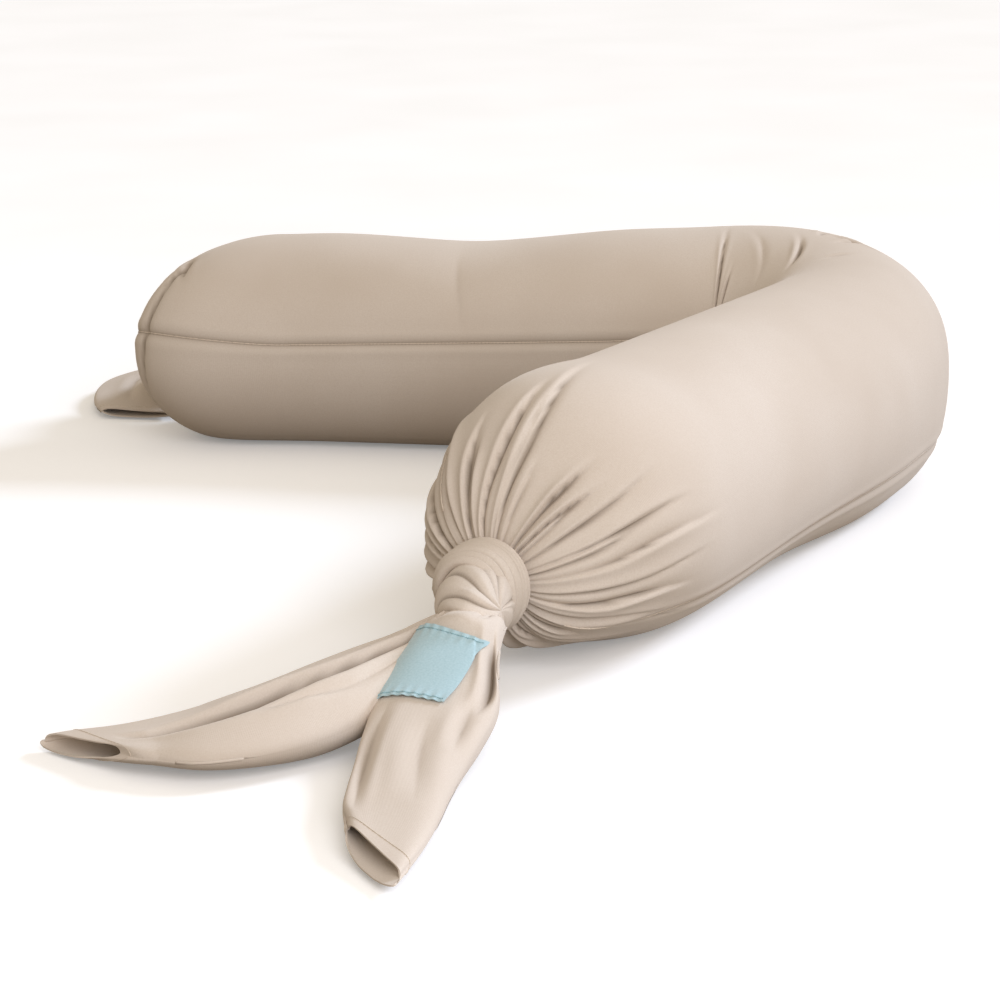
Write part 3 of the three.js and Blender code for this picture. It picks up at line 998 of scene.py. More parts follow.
class Pillow:
    """The filled tube: its cover panels, seams, casing and fill."""

    def __init__(self, tube: Tube, finishes: Wardrobe) -> None:
        """Keeps the tube and its finishes, and works out the four stretches.

        Args:
            tube: the tube's shape.
            finishes: every finish.
        """
        self.tube, self.finishes = tube, finishes
        first, wedge = tube.near_length, (tube.elbow_end - tube.near_length) / 3.0
        middles = [first + wedge * (i + 0.5) for i in range(3)]
        low, high = -tube.neck_length, tube.total + tube.neck_length
        self.cuts = tuple(middles)
        self.stretches = (
            Stretch(
                "near_arm", ("near_arm", "elbow_1"), low, middles[0], first - 0.060, middles[0],
                ("near_arm", "elbow_1"),
            ),
            Stretch(
                "elbow_bend_a", ("elbow_1", "elbow_2"), middles[0], middles[1], middles[0], middles[1],
                ("elbow_2",),
            ),
            Stretch(
                "elbow_bend_b", ("elbow_2", "elbow_3"), middles[1], middles[2], middles[1], middles[2],
                ("elbow_3",),
            ),
            Stretch(
                "far_arm", ("elbow_3", "far_arm"), middles[2], high, middles[2], tube.elbow_end + 0.060,
                ("far_arm",),
            ),
        )

    def rows_of(self, layer: Layer, stretch: Stretch) -> slice:
        """The rows of a layer that belong to a stretch, both end rows included."""
        inside = np.flatnonzero((layer.s > stretch.start - 1e-7) & (layer.s < stretch.end + 1e-7))
        return slice(int(inside[0]), int(inside[-1]) + 1)

    def place(self, obj: Object, stretch: Stretch, part: str, slot: str, fill: float) -> None:
        """Passes a piece to bend_between with its bodies, and hides the CAD nodes it stands for.

        Args:
            obj: the piece.
            stretch: its stretch of the tube.
            part: the CAD nodes' part.
            slot: its slot.
            fill: how firmly it is filled; 0 for a piece that is not; not used.
        """
        bend_between(obj, *stretch.bodies, stretch.bend_start, stretch.bend_end)
        stand_in(obj, slot, *[f"{body}_{part}" for body in stretch.stands_for])

    def build_cover(self) -> Layer:
        """Makes the upper and lower panels, and returns the cover's grid.

        Returns:
            The cover's outside.
        """
        low, high = -self.tube.neck_length, self.tube.total + self.tube.neck_length
        layer = weave_layer(self.tube, low, high, COVER_STEP, COVER_COLUMNS, self.cuts, 0.0, 1.0)
        half = (len(layer.turn) - 1) // 2
        panels = {"cover_upper": slice(0, half + 1), "cover_lower": slice(half, 2 * half + 1)}
        for stretch in self.stretches:
            rows = self.rows_of(layer, stretch)
            for part, columns in panels.items():
                points = layer.points[rows, columns]
                path = np.repeat(layer.s[rows, None], points.shape[1], axis=1)
                cloth, painted_shade = layer.cloth[rows, columns], layer.painted_shade[rows, columns]
                name = f"{stretch.name}_{part}_cloth"
                obj = cloth_object(
                    name, points, cloth, self.finishes.jersey, Hold.OPEN, path, COVER_WALL, painted_shade
                )
                self.face_out(obj, layer.normals[rows, columns])
                self.place(obj, stretch, part, "jersey_cover", 0.75)
        return layer

    @staticmethod
    def face_out(obj: Object, normals: Array) -> None:
        """Turns a panel's faces so that they point out of the pillow."""
        face = obj.data.polygons[len(obj.data.polygons) // 2]
        wanted = normals.reshape(-1, 3)[face.vertices[0]]
        if np.dot(np.array(face.normal), wanted) < 0:
            obj.data.flip_normals()

    def build_seams(self, cover: Layer) -> None:
        """Lays the sewn thread in the groove where the two panels meet.

        Args:
            cover: the cover's outside.
        """
        half = (len(cover.turn) - 1) // 2
        for part, column in {"seam_inner": 0, "seam_outer": half}.items():
            for stretch in self.stretches:
                low, high = max(stretch.start, 0.012), min(stretch.end, self.tube.total - 0.010)
                s = np.linspace(low, high, max(8, round((high - low) / 0.0009)))
                line = on_line(s, cover.s, cover.points[:, column])
                out = unit(on_line(s, cover.s, cover.normals[:, column]))
                wide = np.cross(unit(np.gradient(line, axis=0)), out)
                points = SEAM_STITCHES.skin(line, wide, out, math.pi * s / STITCH_LENGTH)
                points[..., 2] = np.maximum(points[..., 2], LOWEST_THREAD)
                uv = grid(SEAM_STITCHES.turns * 0.001, s[:, None])
                path = np.repeat(s[:, None], points.shape[1], axis=1)
                obj = cloth_object(
                    f"{stretch.name}_{part}_stitches", points, uv, self.finishes.cover_thread, Hold.TUBE,
                    path,
                )
                self.place(obj, stretch, part, "cover_thread", 0.0)

    def build_inside(self) -> None:
        """Makes the casing and the bead fill as closed sacks under the cover."""
        # Part, depth under the cover, share of its folds, distance from the necks, slot, finish, fill.
        kinds = (
            ("casing", 0.0120, 0.3, 0.012, "inner_casing", self.finishes.casing, 0.8),
            ("bead_fill", 0.0155, 0.25, 0.016, "bead_fill", self.finishes.beads, 0.7),
        )
        for part, depth, detail, inset, slot, finish, fill in kinds:
            span = (inset, self.tube.total - inset)
            layer = weave_layer(self.tube, *span, INSIDE_STEP, INSIDE_COLUMNS, self.cuts, depth, detail)
            for stretch in self.stretches:
                rows = self.rows_of(layer, stretch)
                points = closed(layer.points[rows])
                path = np.repeat(twice_at_ends(layer.s[rows])[:, None], points.shape[1], axis=1)
                cloth = twice_at_ends(layer.cloth[rows])
                obj = cloth_object(f"{stretch.name}_{part}_body", points, cloth, finish, Hold.SACK, path)
                self.place(obj, stretch, part, slot, fill)


# ---- knots --------------------------------------------------------------------------------


# Folds that run round the collar: place from its back to its front lip, depth and width.
BAND_FOLDS = (
    (0.17, 0.0022, 0.010), (0.225, 0.0018, 0.009), (0.285, 0.0024, 0.011), (0.40, 0.0008, 0.014),
    (0.52, 0.0016, 0.012), (0.63, 0.0024, 0.012), (0.72, 0.0022, 0.011),
)
# The collar's cross-section: place along the cloth, share of its height and share of its length.
BAND_MARKS = (0.0, 0.05, 0.12, 0.24, 0.40, 0.58, 0.72, 0.80, 0.86, 0.93, 1.0)
BAND_HEIGHTS = (0.0, 0.30, 0.80, 0.99, 1.00, 0.88, 0.62, 0.44, 0.25, 0.02, 0.0)
BAND_PLACES = (0.03, 0.0, 0.02, 0.12, 0.36, 0.66, 0.86, 0.97, 1.0, 0.93, 0.60)
# Folds that sweep over the roll: angle, depth, width and how far each leans, in radians.
ROLL_FOLDS = (
    (
        0.15, 0.0030, 0.09, 0.7
    ), (0.62, 0.0018, 0.06, 0.5), (1.10, 0.0034, 0.10, 0.8), (1.85, 0.0036, 0.10, 0.5),
    (
        2.35, 0.0020, 0.06, 0.7
    ), (3.00, 0.0030, 0.09, 0.6), (3.75, 0.0024, 0.08, 0.8), (4.45, 0.0036, 0.10, 0.5),
    (5.05, 0.0022, 0.06, 0.7), (5.70, 0.0030, 0.09, 0.6),
)


@dataclass
class Knot:
    """A knot at a neck: a collar of cloth wrapped round it, and the roll in front of it."""

    end: str                   # "near" or "far"
    outward: int               # -1 at the near neck, where the knot looks back along the path
    tube: Tube
    finishes: Wardrobe
    seat: float = 0.0013
    band_radius: float = 0.0315
    band_length: float = 0.0345
    bore: float = 0.0176
    roll_radius: float = 0.0215

    def axes(self) -> tuple[Array, Array, Array, Array]:
        """The neck's rim, the direction out of it, the sideways direction and the up direction."""
        s = 0.0 if self.outward < 0 else self.tube.total
        x, y, heading = (float(v) for v in self.tube.plan(np.array(s)))
        height, side, _, _ = (float(v) for v in self.tube.section(np.array(s)))
        left = np.array([-math.sin(heading), math.cos(heading), 0.0])
        out = self.outward * np.array([math.cos(heading), math.sin(heading), 0.0])
        return np.array([x, y, height]) + left * side, out, left, np.array([0.0, 0.0, 1.0])

    def roll_centre(self) -> Array:
        """The middle of the roll, about which the tails turn."""
        low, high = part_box(f"{self.end}_knot_roll")
        return np.array((low + high) / 2)

    def build_collar(self) -> None:
        """The collar: a domed band with folds that run round it, open at the front for the roll."""
        rim, out, left, up = self.axes()
        turns = np.linspace(0.0, 2 * math.pi, 193)[None, :]
        v = np.linspace(0.0, 1.0, 141)[:, None]
        # From the bore at the back, over the rim, along the dome to the front lip and back inside.
        radius = self.bore + (self.band_radius - self.bore) * np.interp(v, BAND_MARKS, BAND_HEIGHTS)
        place = np.interp(v, BAND_MARKS, BAND_PLACES)
        radius, place = smooth_rows(radius, 10), smooth_rows(place, 10)
        swing = 0.030 * np.sin(turns + 0.8) + 0.014 * np.sin(2 * turns + 2.0)
        fold = np.zeros((v.shape[0], turns.shape[1]))
        for middle, deep, wide in BAND_FOLDS:
            gap = v - middle - swing * (0.4 + middle)
            fold += deep * (-np.exp(-np.abs(gap) / wide) + 0.5 * hump(gap - 2.4 * wide, 1.8 * wide))
        fold *= np.clip(np.sin(math.pi * np.clip(v / 0.84, 0, 1)) * 2.0, 0.0, 1.0)
        fold *= 0.8 + 0.35 * np.sin(turns + 3.5)
        radius = (
            radius + fold
            + 0.0009 * np.sin(3 * turns + 1.0) * smooth(v, 0.15, 0.3) * (1 - smooth(v, 0.7, 0.82))
        )
        spot = self.seat + self.band_length * place
        points = (
            rim + out * spot[..., None]
            + (left * np.cos(turns)[..., None] + up * np.sin(turns)[..., None]) * radius[..., None]
        )
        points = np.concatenate([points, points[:1]])
        points[:, -1] = points[:, 0]
        # Painted shade: a darker jersey colour in the collar's folds.
        painted_shade = 0.8 * smooth(-np.concatenate([fold, fold[:1]]), 0.0003, 0.0020)
        rows = np.linspace(0.0, 0.11, len(points))[:, None]
        cloth = grid(turns * 0.03, rows)
        obj = cloth_object(
            f"{self.end}_knot_collar_wrap", points, cloth, self.finishes.jersey, Hold.TUBE, None, 0.0, painted_shade
        )
        self.face_away(obj, rim + out * (self.seat + 0.5 * self.band_length), out)
        self.join(obj, "knot_collar")

    @staticmethod
    def face_away(obj: Object, middle: Array, axis: Array) -> None:
        """Turns a ring-shaped piece's faces outwards, judged on its outermost faces.

        Args:
            obj: the piece.
            middle: a point inside it.
            axis: its axis.
        """
        count, score = len(obj.data.polygons), 0.0
        for face in list(obj.data.polygons)[:: max(1, count // 500)]:
            gap = np.array(face.center) - middle
            gap -= axis * np.dot(gap, axis)
            if np.linalg.norm(gap) > 0.028:
                score += float(np.dot(np.array(face.normal), gap))
        if score < 0:
            obj.data.flip_normals()

    def build_roll(self) -> None:
        """The roll: a bulb of cloth with folds that sweep over it and under it."""
        centre = self.roll_centre()
        _, out, left, up = self.axes()
        polar = np.linspace(0.0, math.pi, 97)[:, None]
        turns = np.linspace(0.0, 2 * math.pi, 145)[None, :]
        # The pole looks sideways, so that the folds sweep over the roll from one side to the other.
        axis = unit(left * 0.92 + out * 0.22 + up * -0.32)
        first = unit(up - axis * np.dot(up, axis))
        second = np.cross(axis, first)
        fold = np.zeros((polar.shape[0], turns.shape[1]))
        for middle, deep, wide, slant in ROLL_FOLDS:
            gap = wrapped(turns - middle - slant * np.cos(polar))
            fold += deep * (-np.exp(-np.abs(gap) / wide) + 0.40 * hump(gap - 0.24, 0.15))
        fold *= np.sin(polar) ** 0.8
        look = (
            axis * np.cos(polar)[..., None]
            + np.sin(polar)[..., None] * (
                first * np.cos(turns)[..., None] + second * np.sin(turns)[..., None]
            )
        )
        rim = self.axes()[0] + out * (self.seat + 0.45 * self.band_length)
        inwards = unit(rim - centre)
        neck = np.clip((look * inwards).sum(axis=-1), 0.0, 1.0)
        under = np.clip((look * unit(out * 0.45 - up)).sum(axis=-1), 0.0, 1.0)
        sideways = look @ left
        # Drawn out towards the neck, broad sideways, pressed in on the right and below.
        radius = self.roll_radius + fold + 0.021 * neck**1.4 + 0.0030 * np.abs(sideways) ** 2
        radius = radius - 0.0075 * np.clip(-sideways, 0.0, 1.0) ** 1.5 - 0.0085 * smooth(under, 0.35, 0.95)
        points = centre + radius[..., None] * look
        points[:, -1] = points[:, 0]
        cloth = grid(turns * 0.02, polar * 0.022)
        # Painted shade: a darker jersey colour in the roll's folds.
        painted_shade = 0.8 * smooth(-fold, 0.0003, 0.0028)
        obj = cloth_object(
            f"{self.end}_knot_roll_wrap", points, cloth, self.finishes.jersey, Hold.SACK, None, 0.0, painted_shade
        )
        faces = list(obj.data.polygons)[::40]
        if sum(float(np.dot(np.array(f.normal), np.array(f.center) - centre)) for f in faces) < 0:
            obj.data.flip_normals()
        self.join(obj, "knot_roll")

    def join(self, obj: Object, part: str) -> None:
        """Lets a piece ride on its arm, in place of its CAD node."""
        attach(obj, f"{self.end}_arm")
        stand_in(obj, "jersey_cover", f"{self.end}_{part}")

    def build(self) -> None:
        """Makes both pieces."""
        self.build_collar()
        self.build_roll()


# ---- tie tails ----------------------------------------------------------------------------


@dataclass(frozen=True)
class Valley:
    """A soft fold that runs along a tail's upper side."""

    across: tuple[float, float]     # where it starts and ends, from -1 to 1 over the width
    span: tuple[float, float]       # and along the tail, from 0 at the knot to 1 at its end
    depth: float
    width: float                    # share of the half width
    lean: float = 0.0               # above 0, its side towards -1 is the steeper one


@dataclass(frozen=True)
class Puff:
    """A rounded swelling of a tail's upper side."""

    across: float        # from -1 to 1 over the width
    spot: float          # along the tail, from 0 to 1
    height: float
    wide: float          # share of the half width
    long: float          # share of the length


@dataclass(frozen=True)
class Tail:
    """A tie tail: a tube of jersey pressed flat, gathered where it leaves the knot and open at its end."""

    name: str                                          # also the name of the body it moves with
    knot: Knot
    route: tuple[tuple[float, float, float], ...]      # from the roll's middle; heights above the floor
    widths: tuple[float, ...]                          # over the tail's length
    heights: tuple[float, ...]
    valleys: tuple[Valley, ...]
    puffs: tuple[Puff, ...]
    skew: float                                        # how much further one corner of the end reaches
    gape: float                                        # how far the end's mouth stands open
    seed: int
    lip: float = 0.0                                   # how much further the under layer reaches
    hug: float = 0.0                                   # how far the root's sides fold back round the roll
    flat_width: float = 0.074
    flat_length: float = 0.255
    wall: float = 0.0011
    tuck: float = 0.010                                # the root starts this far from the roll's middle
    bend: tuple[float, float] = (0.006, 0.030)         # a stretch of the root's length, passed to bend_between
    calm: tuple[float, float] = (1.5, 1.6)             # stretch whose upper side a label keeps smooth
    root_folds: int = 12
    root_fold_depth: float = 0.0026
    root_fold_width: float = 0.09                      # radians round the cross-section
    hem_place: float = 0.955                           # share of the length at which the hem is sewn

    def line(self, t: Array) -> Array:
        """Points of the tail's middle line, for shares t of its length.

        Args:
            t: shares of the length, from 0 at the root to 1.

        Returns:
            Points of the line.
        """
        centre = self.knot.roll_centre()
        stops = np.array([[centre[0] + x, centre[1] + y, z] for x, y, z in self.route])
        chords = np.concatenate([[0.0], np.cumsum(np.linalg.norm(np.diff(stops, axis=0), axis=1) ** 0.5)])
        chords /= chords[-1]
        fine = np.linspace(0.0, 1.0, 2001)
        curve = np.stack([self.spline(chords, stops[:, i], fine) for i in range(3)], axis=-1)
        gap = np.concatenate([[0.0], np.cumsum(np.linalg.norm(np.diff(curve, axis=0), axis=1))])
        length = self.tuck + np.asarray(t, float) * (gap[-1] - self.tuck)
        return on_line(length, gap, curve)

    @staticmethod
    def spline(knots: Array, values: Array, at: Array) -> Array:
        """A smooth curve through the values, by cubic pieces with central slopes.

        Args:
            knots: places of the values.
            values: the values.
            at: places asked for.

        Returns:
            The curve's values there.
        """
        slopes = np.gradient(values, knots)
        i = np.clip(np.searchsorted(knots, at, side="right") - 1, 0, len(knots) - 2)
        step = knots[i + 1] - knots[i]
        u = (at - knots[i]) / step
        first = (1 + 2 * u) * (1 - u) ** 2 * values[i] + u * (1 - u) ** 2 * step * slopes[i]
        return first + u * u * (3 - 2 * u) * values[i + 1] + u * u * (u - 1) * step * slopes[i + 1]

    def frames(self, t: Array) -> tuple[Array, Array, Array]:
        """Middle line, sideways and upward directions along the tail.

        Args:
            t: shares of the length.

        Returns:
            The three, one row for each share.
        """
        middle = self.line(t)
        shares = np.linspace(0.0, 1.0, 401)
        along = unit(on_line(t, shares, unit(np.gradient(self.line(shares), axis=0))))
        wide = unit(np.cross(np.broadcast_to([0.0, 0.0, 1.0], along.shape), along) + 1e-9)
        return middle, wide, np.cross(along, wide)

    def folds(self, t: Array, angle: Array) -> Array:
        """Heights of the tail's folds.

        Args:
            t: shares of the tail's length, rows by 1.
            angle: angles round its cross-section.

        Returns:
            Heights over the plain tail.
        """
        x = np.sign(np.cos(angle)) * np.abs(np.cos(angle)) ** 0.8
        over = np.where(np.sin(angle) > 0, 1.0, 0.35)
        lift = np.zeros(np.broadcast(t, angle).shape)
        for valley in self.valleys:
            share = np.clip((t - valley.span[0]) / (valley.span[1] - valley.span[0]), 0.0, 1.0)
            spot = valley.across[0] + (valley.across[1] - valley.across[0]) * share + 0.05 * np.sin(9.0 * t)
            here = np.sin(math.pi * share) ** 1.1
            gap = x - spot
            wide = valley.width * (1.0 + valley.lean * np.where(gap > 0, 1.0, -0.7))
            cut = 0.7 * np.exp(-np.abs(gap) / wide) + 0.5 * hump(gap, 1.8 * wide)
            cut -= 0.35 * hump(np.abs(gap) - 3.0 * wide, 1.6 * wide)
            lift -= over * valley.depth * here * cut
        for puff in self.puffs:
            lift += puff.height * over * hump(x - puff.across, puff.wide) * hump(t - puff.spot, puff.long)
        calm = smooth(t, self.calm[0] - 0.03, self.calm[0]) * (
            1.0 - smooth(t, self.calm[1], self.calm[1] + 0.04)
        )
        rough = 1.0 - 0.9 * calm * smooth(np.sin(angle), 0.2, 0.6)
        rng = np.random.default_rng(self.seed)
        for _ in range(self.root_folds):
            spot, turns = rng.uniform(0.0, 2 * math.pi), rng.uniform(-0.5, 0.5)
            gap = wrapped(angle - spot - turns * t * 3.0)
            reach = rng.uniform(0.16, 0.42)
            cut = np.exp(-np.abs(gap) / self.root_fold_width) * (1.0 - smooth(t, 0.4 * reach, reach))
            lift -= self.root_fold_depth * cut * rough
        lift += 0.0009 * np.sin(3.0 * angle + 7.0 * t) * smooth(t, 0.2, 0.5)
        return lift

    def surface(self, t: Array, angle: Array) -> Array:
        """Points of the tail's outside.

        Args:
            t: shares of the tail's length, rows by 1.
            angle: angles round its cross-section, from one edge over the top.

        Returns:
            Points, rows by columns by 3.
        """
        shares = t[:, 0]
        middle, wide, up = (v[:, None, :] for v in self.frames(shares))
        stops = np.linspace(0.0, 1.0, len(self.widths))
        half_wide = self.spline(stops, np.array(self.widths), shares)[:, None] / 2.0
        half_high = self.spline(stops, np.array(self.heights), shares)[:, None] / 2.0
        x = np.sign(np.cos(angle)) * np.abs(np.cos(angle)) ** 0.8
        z = np.sign(np.sin(angle)) * np.abs(np.sin(angle)) ** 0.85
        lift = self.folds(t, angle)
        open_up = smooth(t, 0.80, 1.0) * self.gape
        push = self.skew * smooth(t, 0.70, 1.0) * x
        push = push + self.lip * smooth(t, 0.78, 1.0) * (np.sin(angle) < 0) * np.abs(np.sin(angle)) ** 0.5
        push = push - self.hug * x * x * (1.0 - smooth(t, 0.0, 0.16))
        along = np.cross(wide, up)
        rise = (half_high + open_up / 2.0) * z + lift * np.sign(z)
        points = middle + wide * (half_wide * x)[..., None] + up * rise[..., None] + along * push[..., None]
        points = points + np.array([0.0, 0.0, 1.0]) * (open_up / 2.0)[..., None]
        points[..., 2] = soft_floor(points[..., 2], 0.0006, 0.003)
        return points

    def build(self, finishes: Wardrobe) -> Object:
        """Makes the tail and its hem stitching, and returns the tail.

        Args:
            finishes: every finish.

        Returns:
            The tail.
        """
        t = np.linspace(0.0, 1.0, 170)[:, None]
        angle = np.linspace(0.0, 2 * math.pi, 161)[None, :]
        points = self.surface(t, angle)
        points[:, -1] = points[:, 0]
        points = closed(points)[:-1]
        rows = np.linspace(0.0, self.flat_length, len(points))[:, None]
        cloth = grid(angle * self.flat_width / math.pi, rows)
        path = np.repeat(
            np.concatenate([[0.0], t[:, 0]])[:, None] * self.flat_length, points.shape[1], axis=1
        )
        # Painted shade: a darker jersey colour in the tail's valleys and root folds.
        painted_shade = 0.95 * smooth(-self.folds(t, angle), 0.0006, 0.0080)
        painted_shade = np.concatenate([painted_shade[:1], painted_shade])
        obj = cloth_object(
            f"{self.name}_cloth", points, cloth, finishes.jersey, Hold.TUBE, path, self.wall, painted_shade
        )
        bend_between(obj, f"{self.knot.end}_arm", self.name, *self.bend)
        stand_in(obj, "jersey_cover", self.name)
        hem = self.build_hem(finishes)
        return obj

    @staticmethod
    def one_side(points: Array) -> float:
        """The area of a grid of points."""
        across, along = np.diff(points, axis=1)[:-1], np.diff(points, axis=0)[:, :-1]
        return float(np.linalg.norm(np.cross(across, along), axis=-1).sum())

    def build_hem(self, finishes: Wardrobe) -> Object:
        """The line of short stitches that holds the turned-in end.

        Args:
            finishes: every finish.

        Returns:
            The stitching.
        """
        angle = np.linspace(0.0, 2 * math.pi, 461)
        line = self.surface(np.array([[self.hem_place]]), angle[None, :])[0]
        inner = self.surface(np.array([[self.hem_place - 0.005]]), angle[None, :])[0]
        centre = line.mean(axis=0)
        around = unit(np.gradient(line, axis=0))
        along = unit(line - inner)
        out = unit(np.cross(around, along))
        if ((line - centre) * out).sum() < 0:
            out = -out
        points = HEM_STITCHES.skin(line, along, out, angle * 24.0)
        points[-1] = points[0]
        points[..., 2] = np.maximum(points[..., 2], LOWEST_THREAD)
        uv = grid(HEM_STITCHES.turns * 0.001, angle[:, None] * 0.03)
        obj = cloth_object(f"{self.name}_hem_stitches", points, uv, finishes.cover_thread, Hold.TUBE)
        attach(obj, self.name)
        stand_in(obj, "cover_thread", f"{self.name}_hem")
        return obj


@dataclass(frozen=True)
class Label:
    """The sewn satin label that lies over its tail, and its two rows of stitches."""

    tail: Tail
    width: float = 0.050
    start: float = 0.023       # from the root of the tail
    length: float = 0.067
    aside: float = -0.008      # to the left of the tail's middle
    turn: float = 12.0         # degrees, its right side further from the root
    rise: float = 0.0011
    pucker_beat: float = 46.0  # radians of stitching over the label's width

    def path(self, u: Array, v: Array) -> Array:
        """Length along the tail at shares u over the label's width and v over its length."""
        turn = math.radians(self.turn)
        x, y = (u - 0.5) * self.width, (v - 0.5) * self.length
        return self.start + self.length / 2.0 + x * math.sin(turn) + y * math.cos(turn)

    def patch(self, u: Array, v: Array) -> Array:
        """Points of the label's place on the tail, for shares u over its width and v over its length.

        Args:
            u: shares over the width.
            v: shares over the length.

        Returns:
            Points, the grid's shape by 3.
        """
        turn = math.radians(self.turn)
        x, y = (u - 0.5) * self.width, (v - 0.5) * self.length
        across = self.aside + x * math.cos(turn) - y * math.sin(turn)
        share = self.path(u, v) / self.tail.flat_length
        stops = np.linspace(0.0, 1.0, len(self.tail.widths))
        half = self.tail.spline(stops, np.array(self.tail.widths), share.ravel()).reshape(share.shape) / 2.0
        part = np.clip(across / half, -0.97, 0.97)
        angle = np.arccos(np.sign(part) * np.abs(part) ** 1.25)
        spots = self.tail.surface(share.reshape(-1, 1), angle.reshape(-1, 1))
        return spots[:, 0].reshape(share.shape + (3,))

    @staticmethod
    def drape(ground: Array, out: Array, u: Array, v: Array) -> Array:
        """The label's stiffer cloth, laid over its ground.

        Args:
            ground: points of the tail under it.
            out: the ground's normals.
            u: shares over the label's width.
            v: shares over its length.

        Returns:
            A smooth sheet that touches the ground's highest places.
        """
        u, v = np.broadcast_arrays(u, v)
        powers = [(i, j) for i in range(5) for j in range(6) if i + j < 7]
        terms = np.stack([(u**i * v**j).ravel() for i, j in powers], axis=-1)
        flat = ground.reshape(-1, 3)
        sheet = (terms @ np.linalg.lstsq(terms, flat, rcond=None)[0]).reshape(ground.shape)
        short = ((ground - sheet) * out).sum(axis=-1)
        return sheet + out * max(0.0, float(short.max()))

    def build(self, finishes: Wardrobe) -> None:
        """Makes the label and its stitching.

        Args:
            finishes: every finish.
        """
        v, u = np.linspace(0.0, 1.0, 72)[:, None], np.linspace(0.0, 1.0, 64)[None, :]
        ground = self.patch(u, v)
        out = surface_normals(ground, False)
        if out[..., 2].mean() < 0:
            out = -out
        pucker = 0.0004 * np.sin(u * self.pucker_beat) * (hump(v, 0.12) + hump(v - 1.0, 0.12))
        height = self.rise + pucker + 0.0010 * np.sin(math.pi * u) * np.sin(math.pi * v)
        points = self.drape(ground, out, u, v) + out * height[..., None]
        cloth = grid(u * self.width, v * self.length)
        obj = cloth_object(
            "sewn_label", points, cloth, finishes.label_tape, Hold.OPEN, self.path(u, v), LABEL_WALL
        )
        Pillow.face_out(obj, out)
        bend_between(obj, f"{self.tail.knot.end}_arm", self.tail.name, *self.tail.bend)
        stand_in(obj, "label_cloth", "label")
        threads = self.build_stitches(points, out, finishes)
        flat = (round(self.width, 4), round(Tail.one_side(points) / self.width, 4))

    def build_stitches(self, points: Array, out: Array, finishes: Wardrobe) -> Object:
        """One row of stitches near each end of the label.

        Args:
            points: the label's points.
            out: its normals.
            finishes: every finish.

        Returns:
            Both rows as one piece.
        """
        made, paths = [], []
        for row in (3, len(points) - 4):
            share = np.linspace(0.03, 0.97, 210)
            index = share * (points.shape[1] - 1)
            line = on_line(index, np.arange(points.shape[1]), points[row])
            up = unit(on_line(index, np.arange(points.shape[1]), out[row]))
            side = np.cross(unit(np.gradient(line, axis=0)), up)
            made.append(closed(LABEL_STITCHES.skin(line, side, up, share * self.pucker_beat)))
            path = self.path(share, row / (len(points) - 1))
            paths.append(np.repeat(twice_at_ends(path)[:, None], len(LABEL_STITCHES.turns), axis=1))
        uv = np.zeros(made[0].shape[:2] + (2,))
        first = cloth_object("label_stitches", made[0], uv, finishes.label_thread, Hold.SACK, paths[0])
        second = cloth_object(
            "label_stitches_lower", made[1], uv, finishes.label_thread, Hold.SACK, paths[1]
        )
        shape = bmesh.new()
        shape.from_mesh(first.data)
        shape.from_mesh(second.data)
        shape.to_mesh(first.data)
        shape.free()
        bpy.data.objects.remove(second)
        bend_between(first, f"{self.tail.knot.end}_arm", self.tail.name, *self.tail.bend)
        stand_in(first, "label_thread", "label_stitching")
        return first


# ---- studio -------------------------------------------------------------------------------


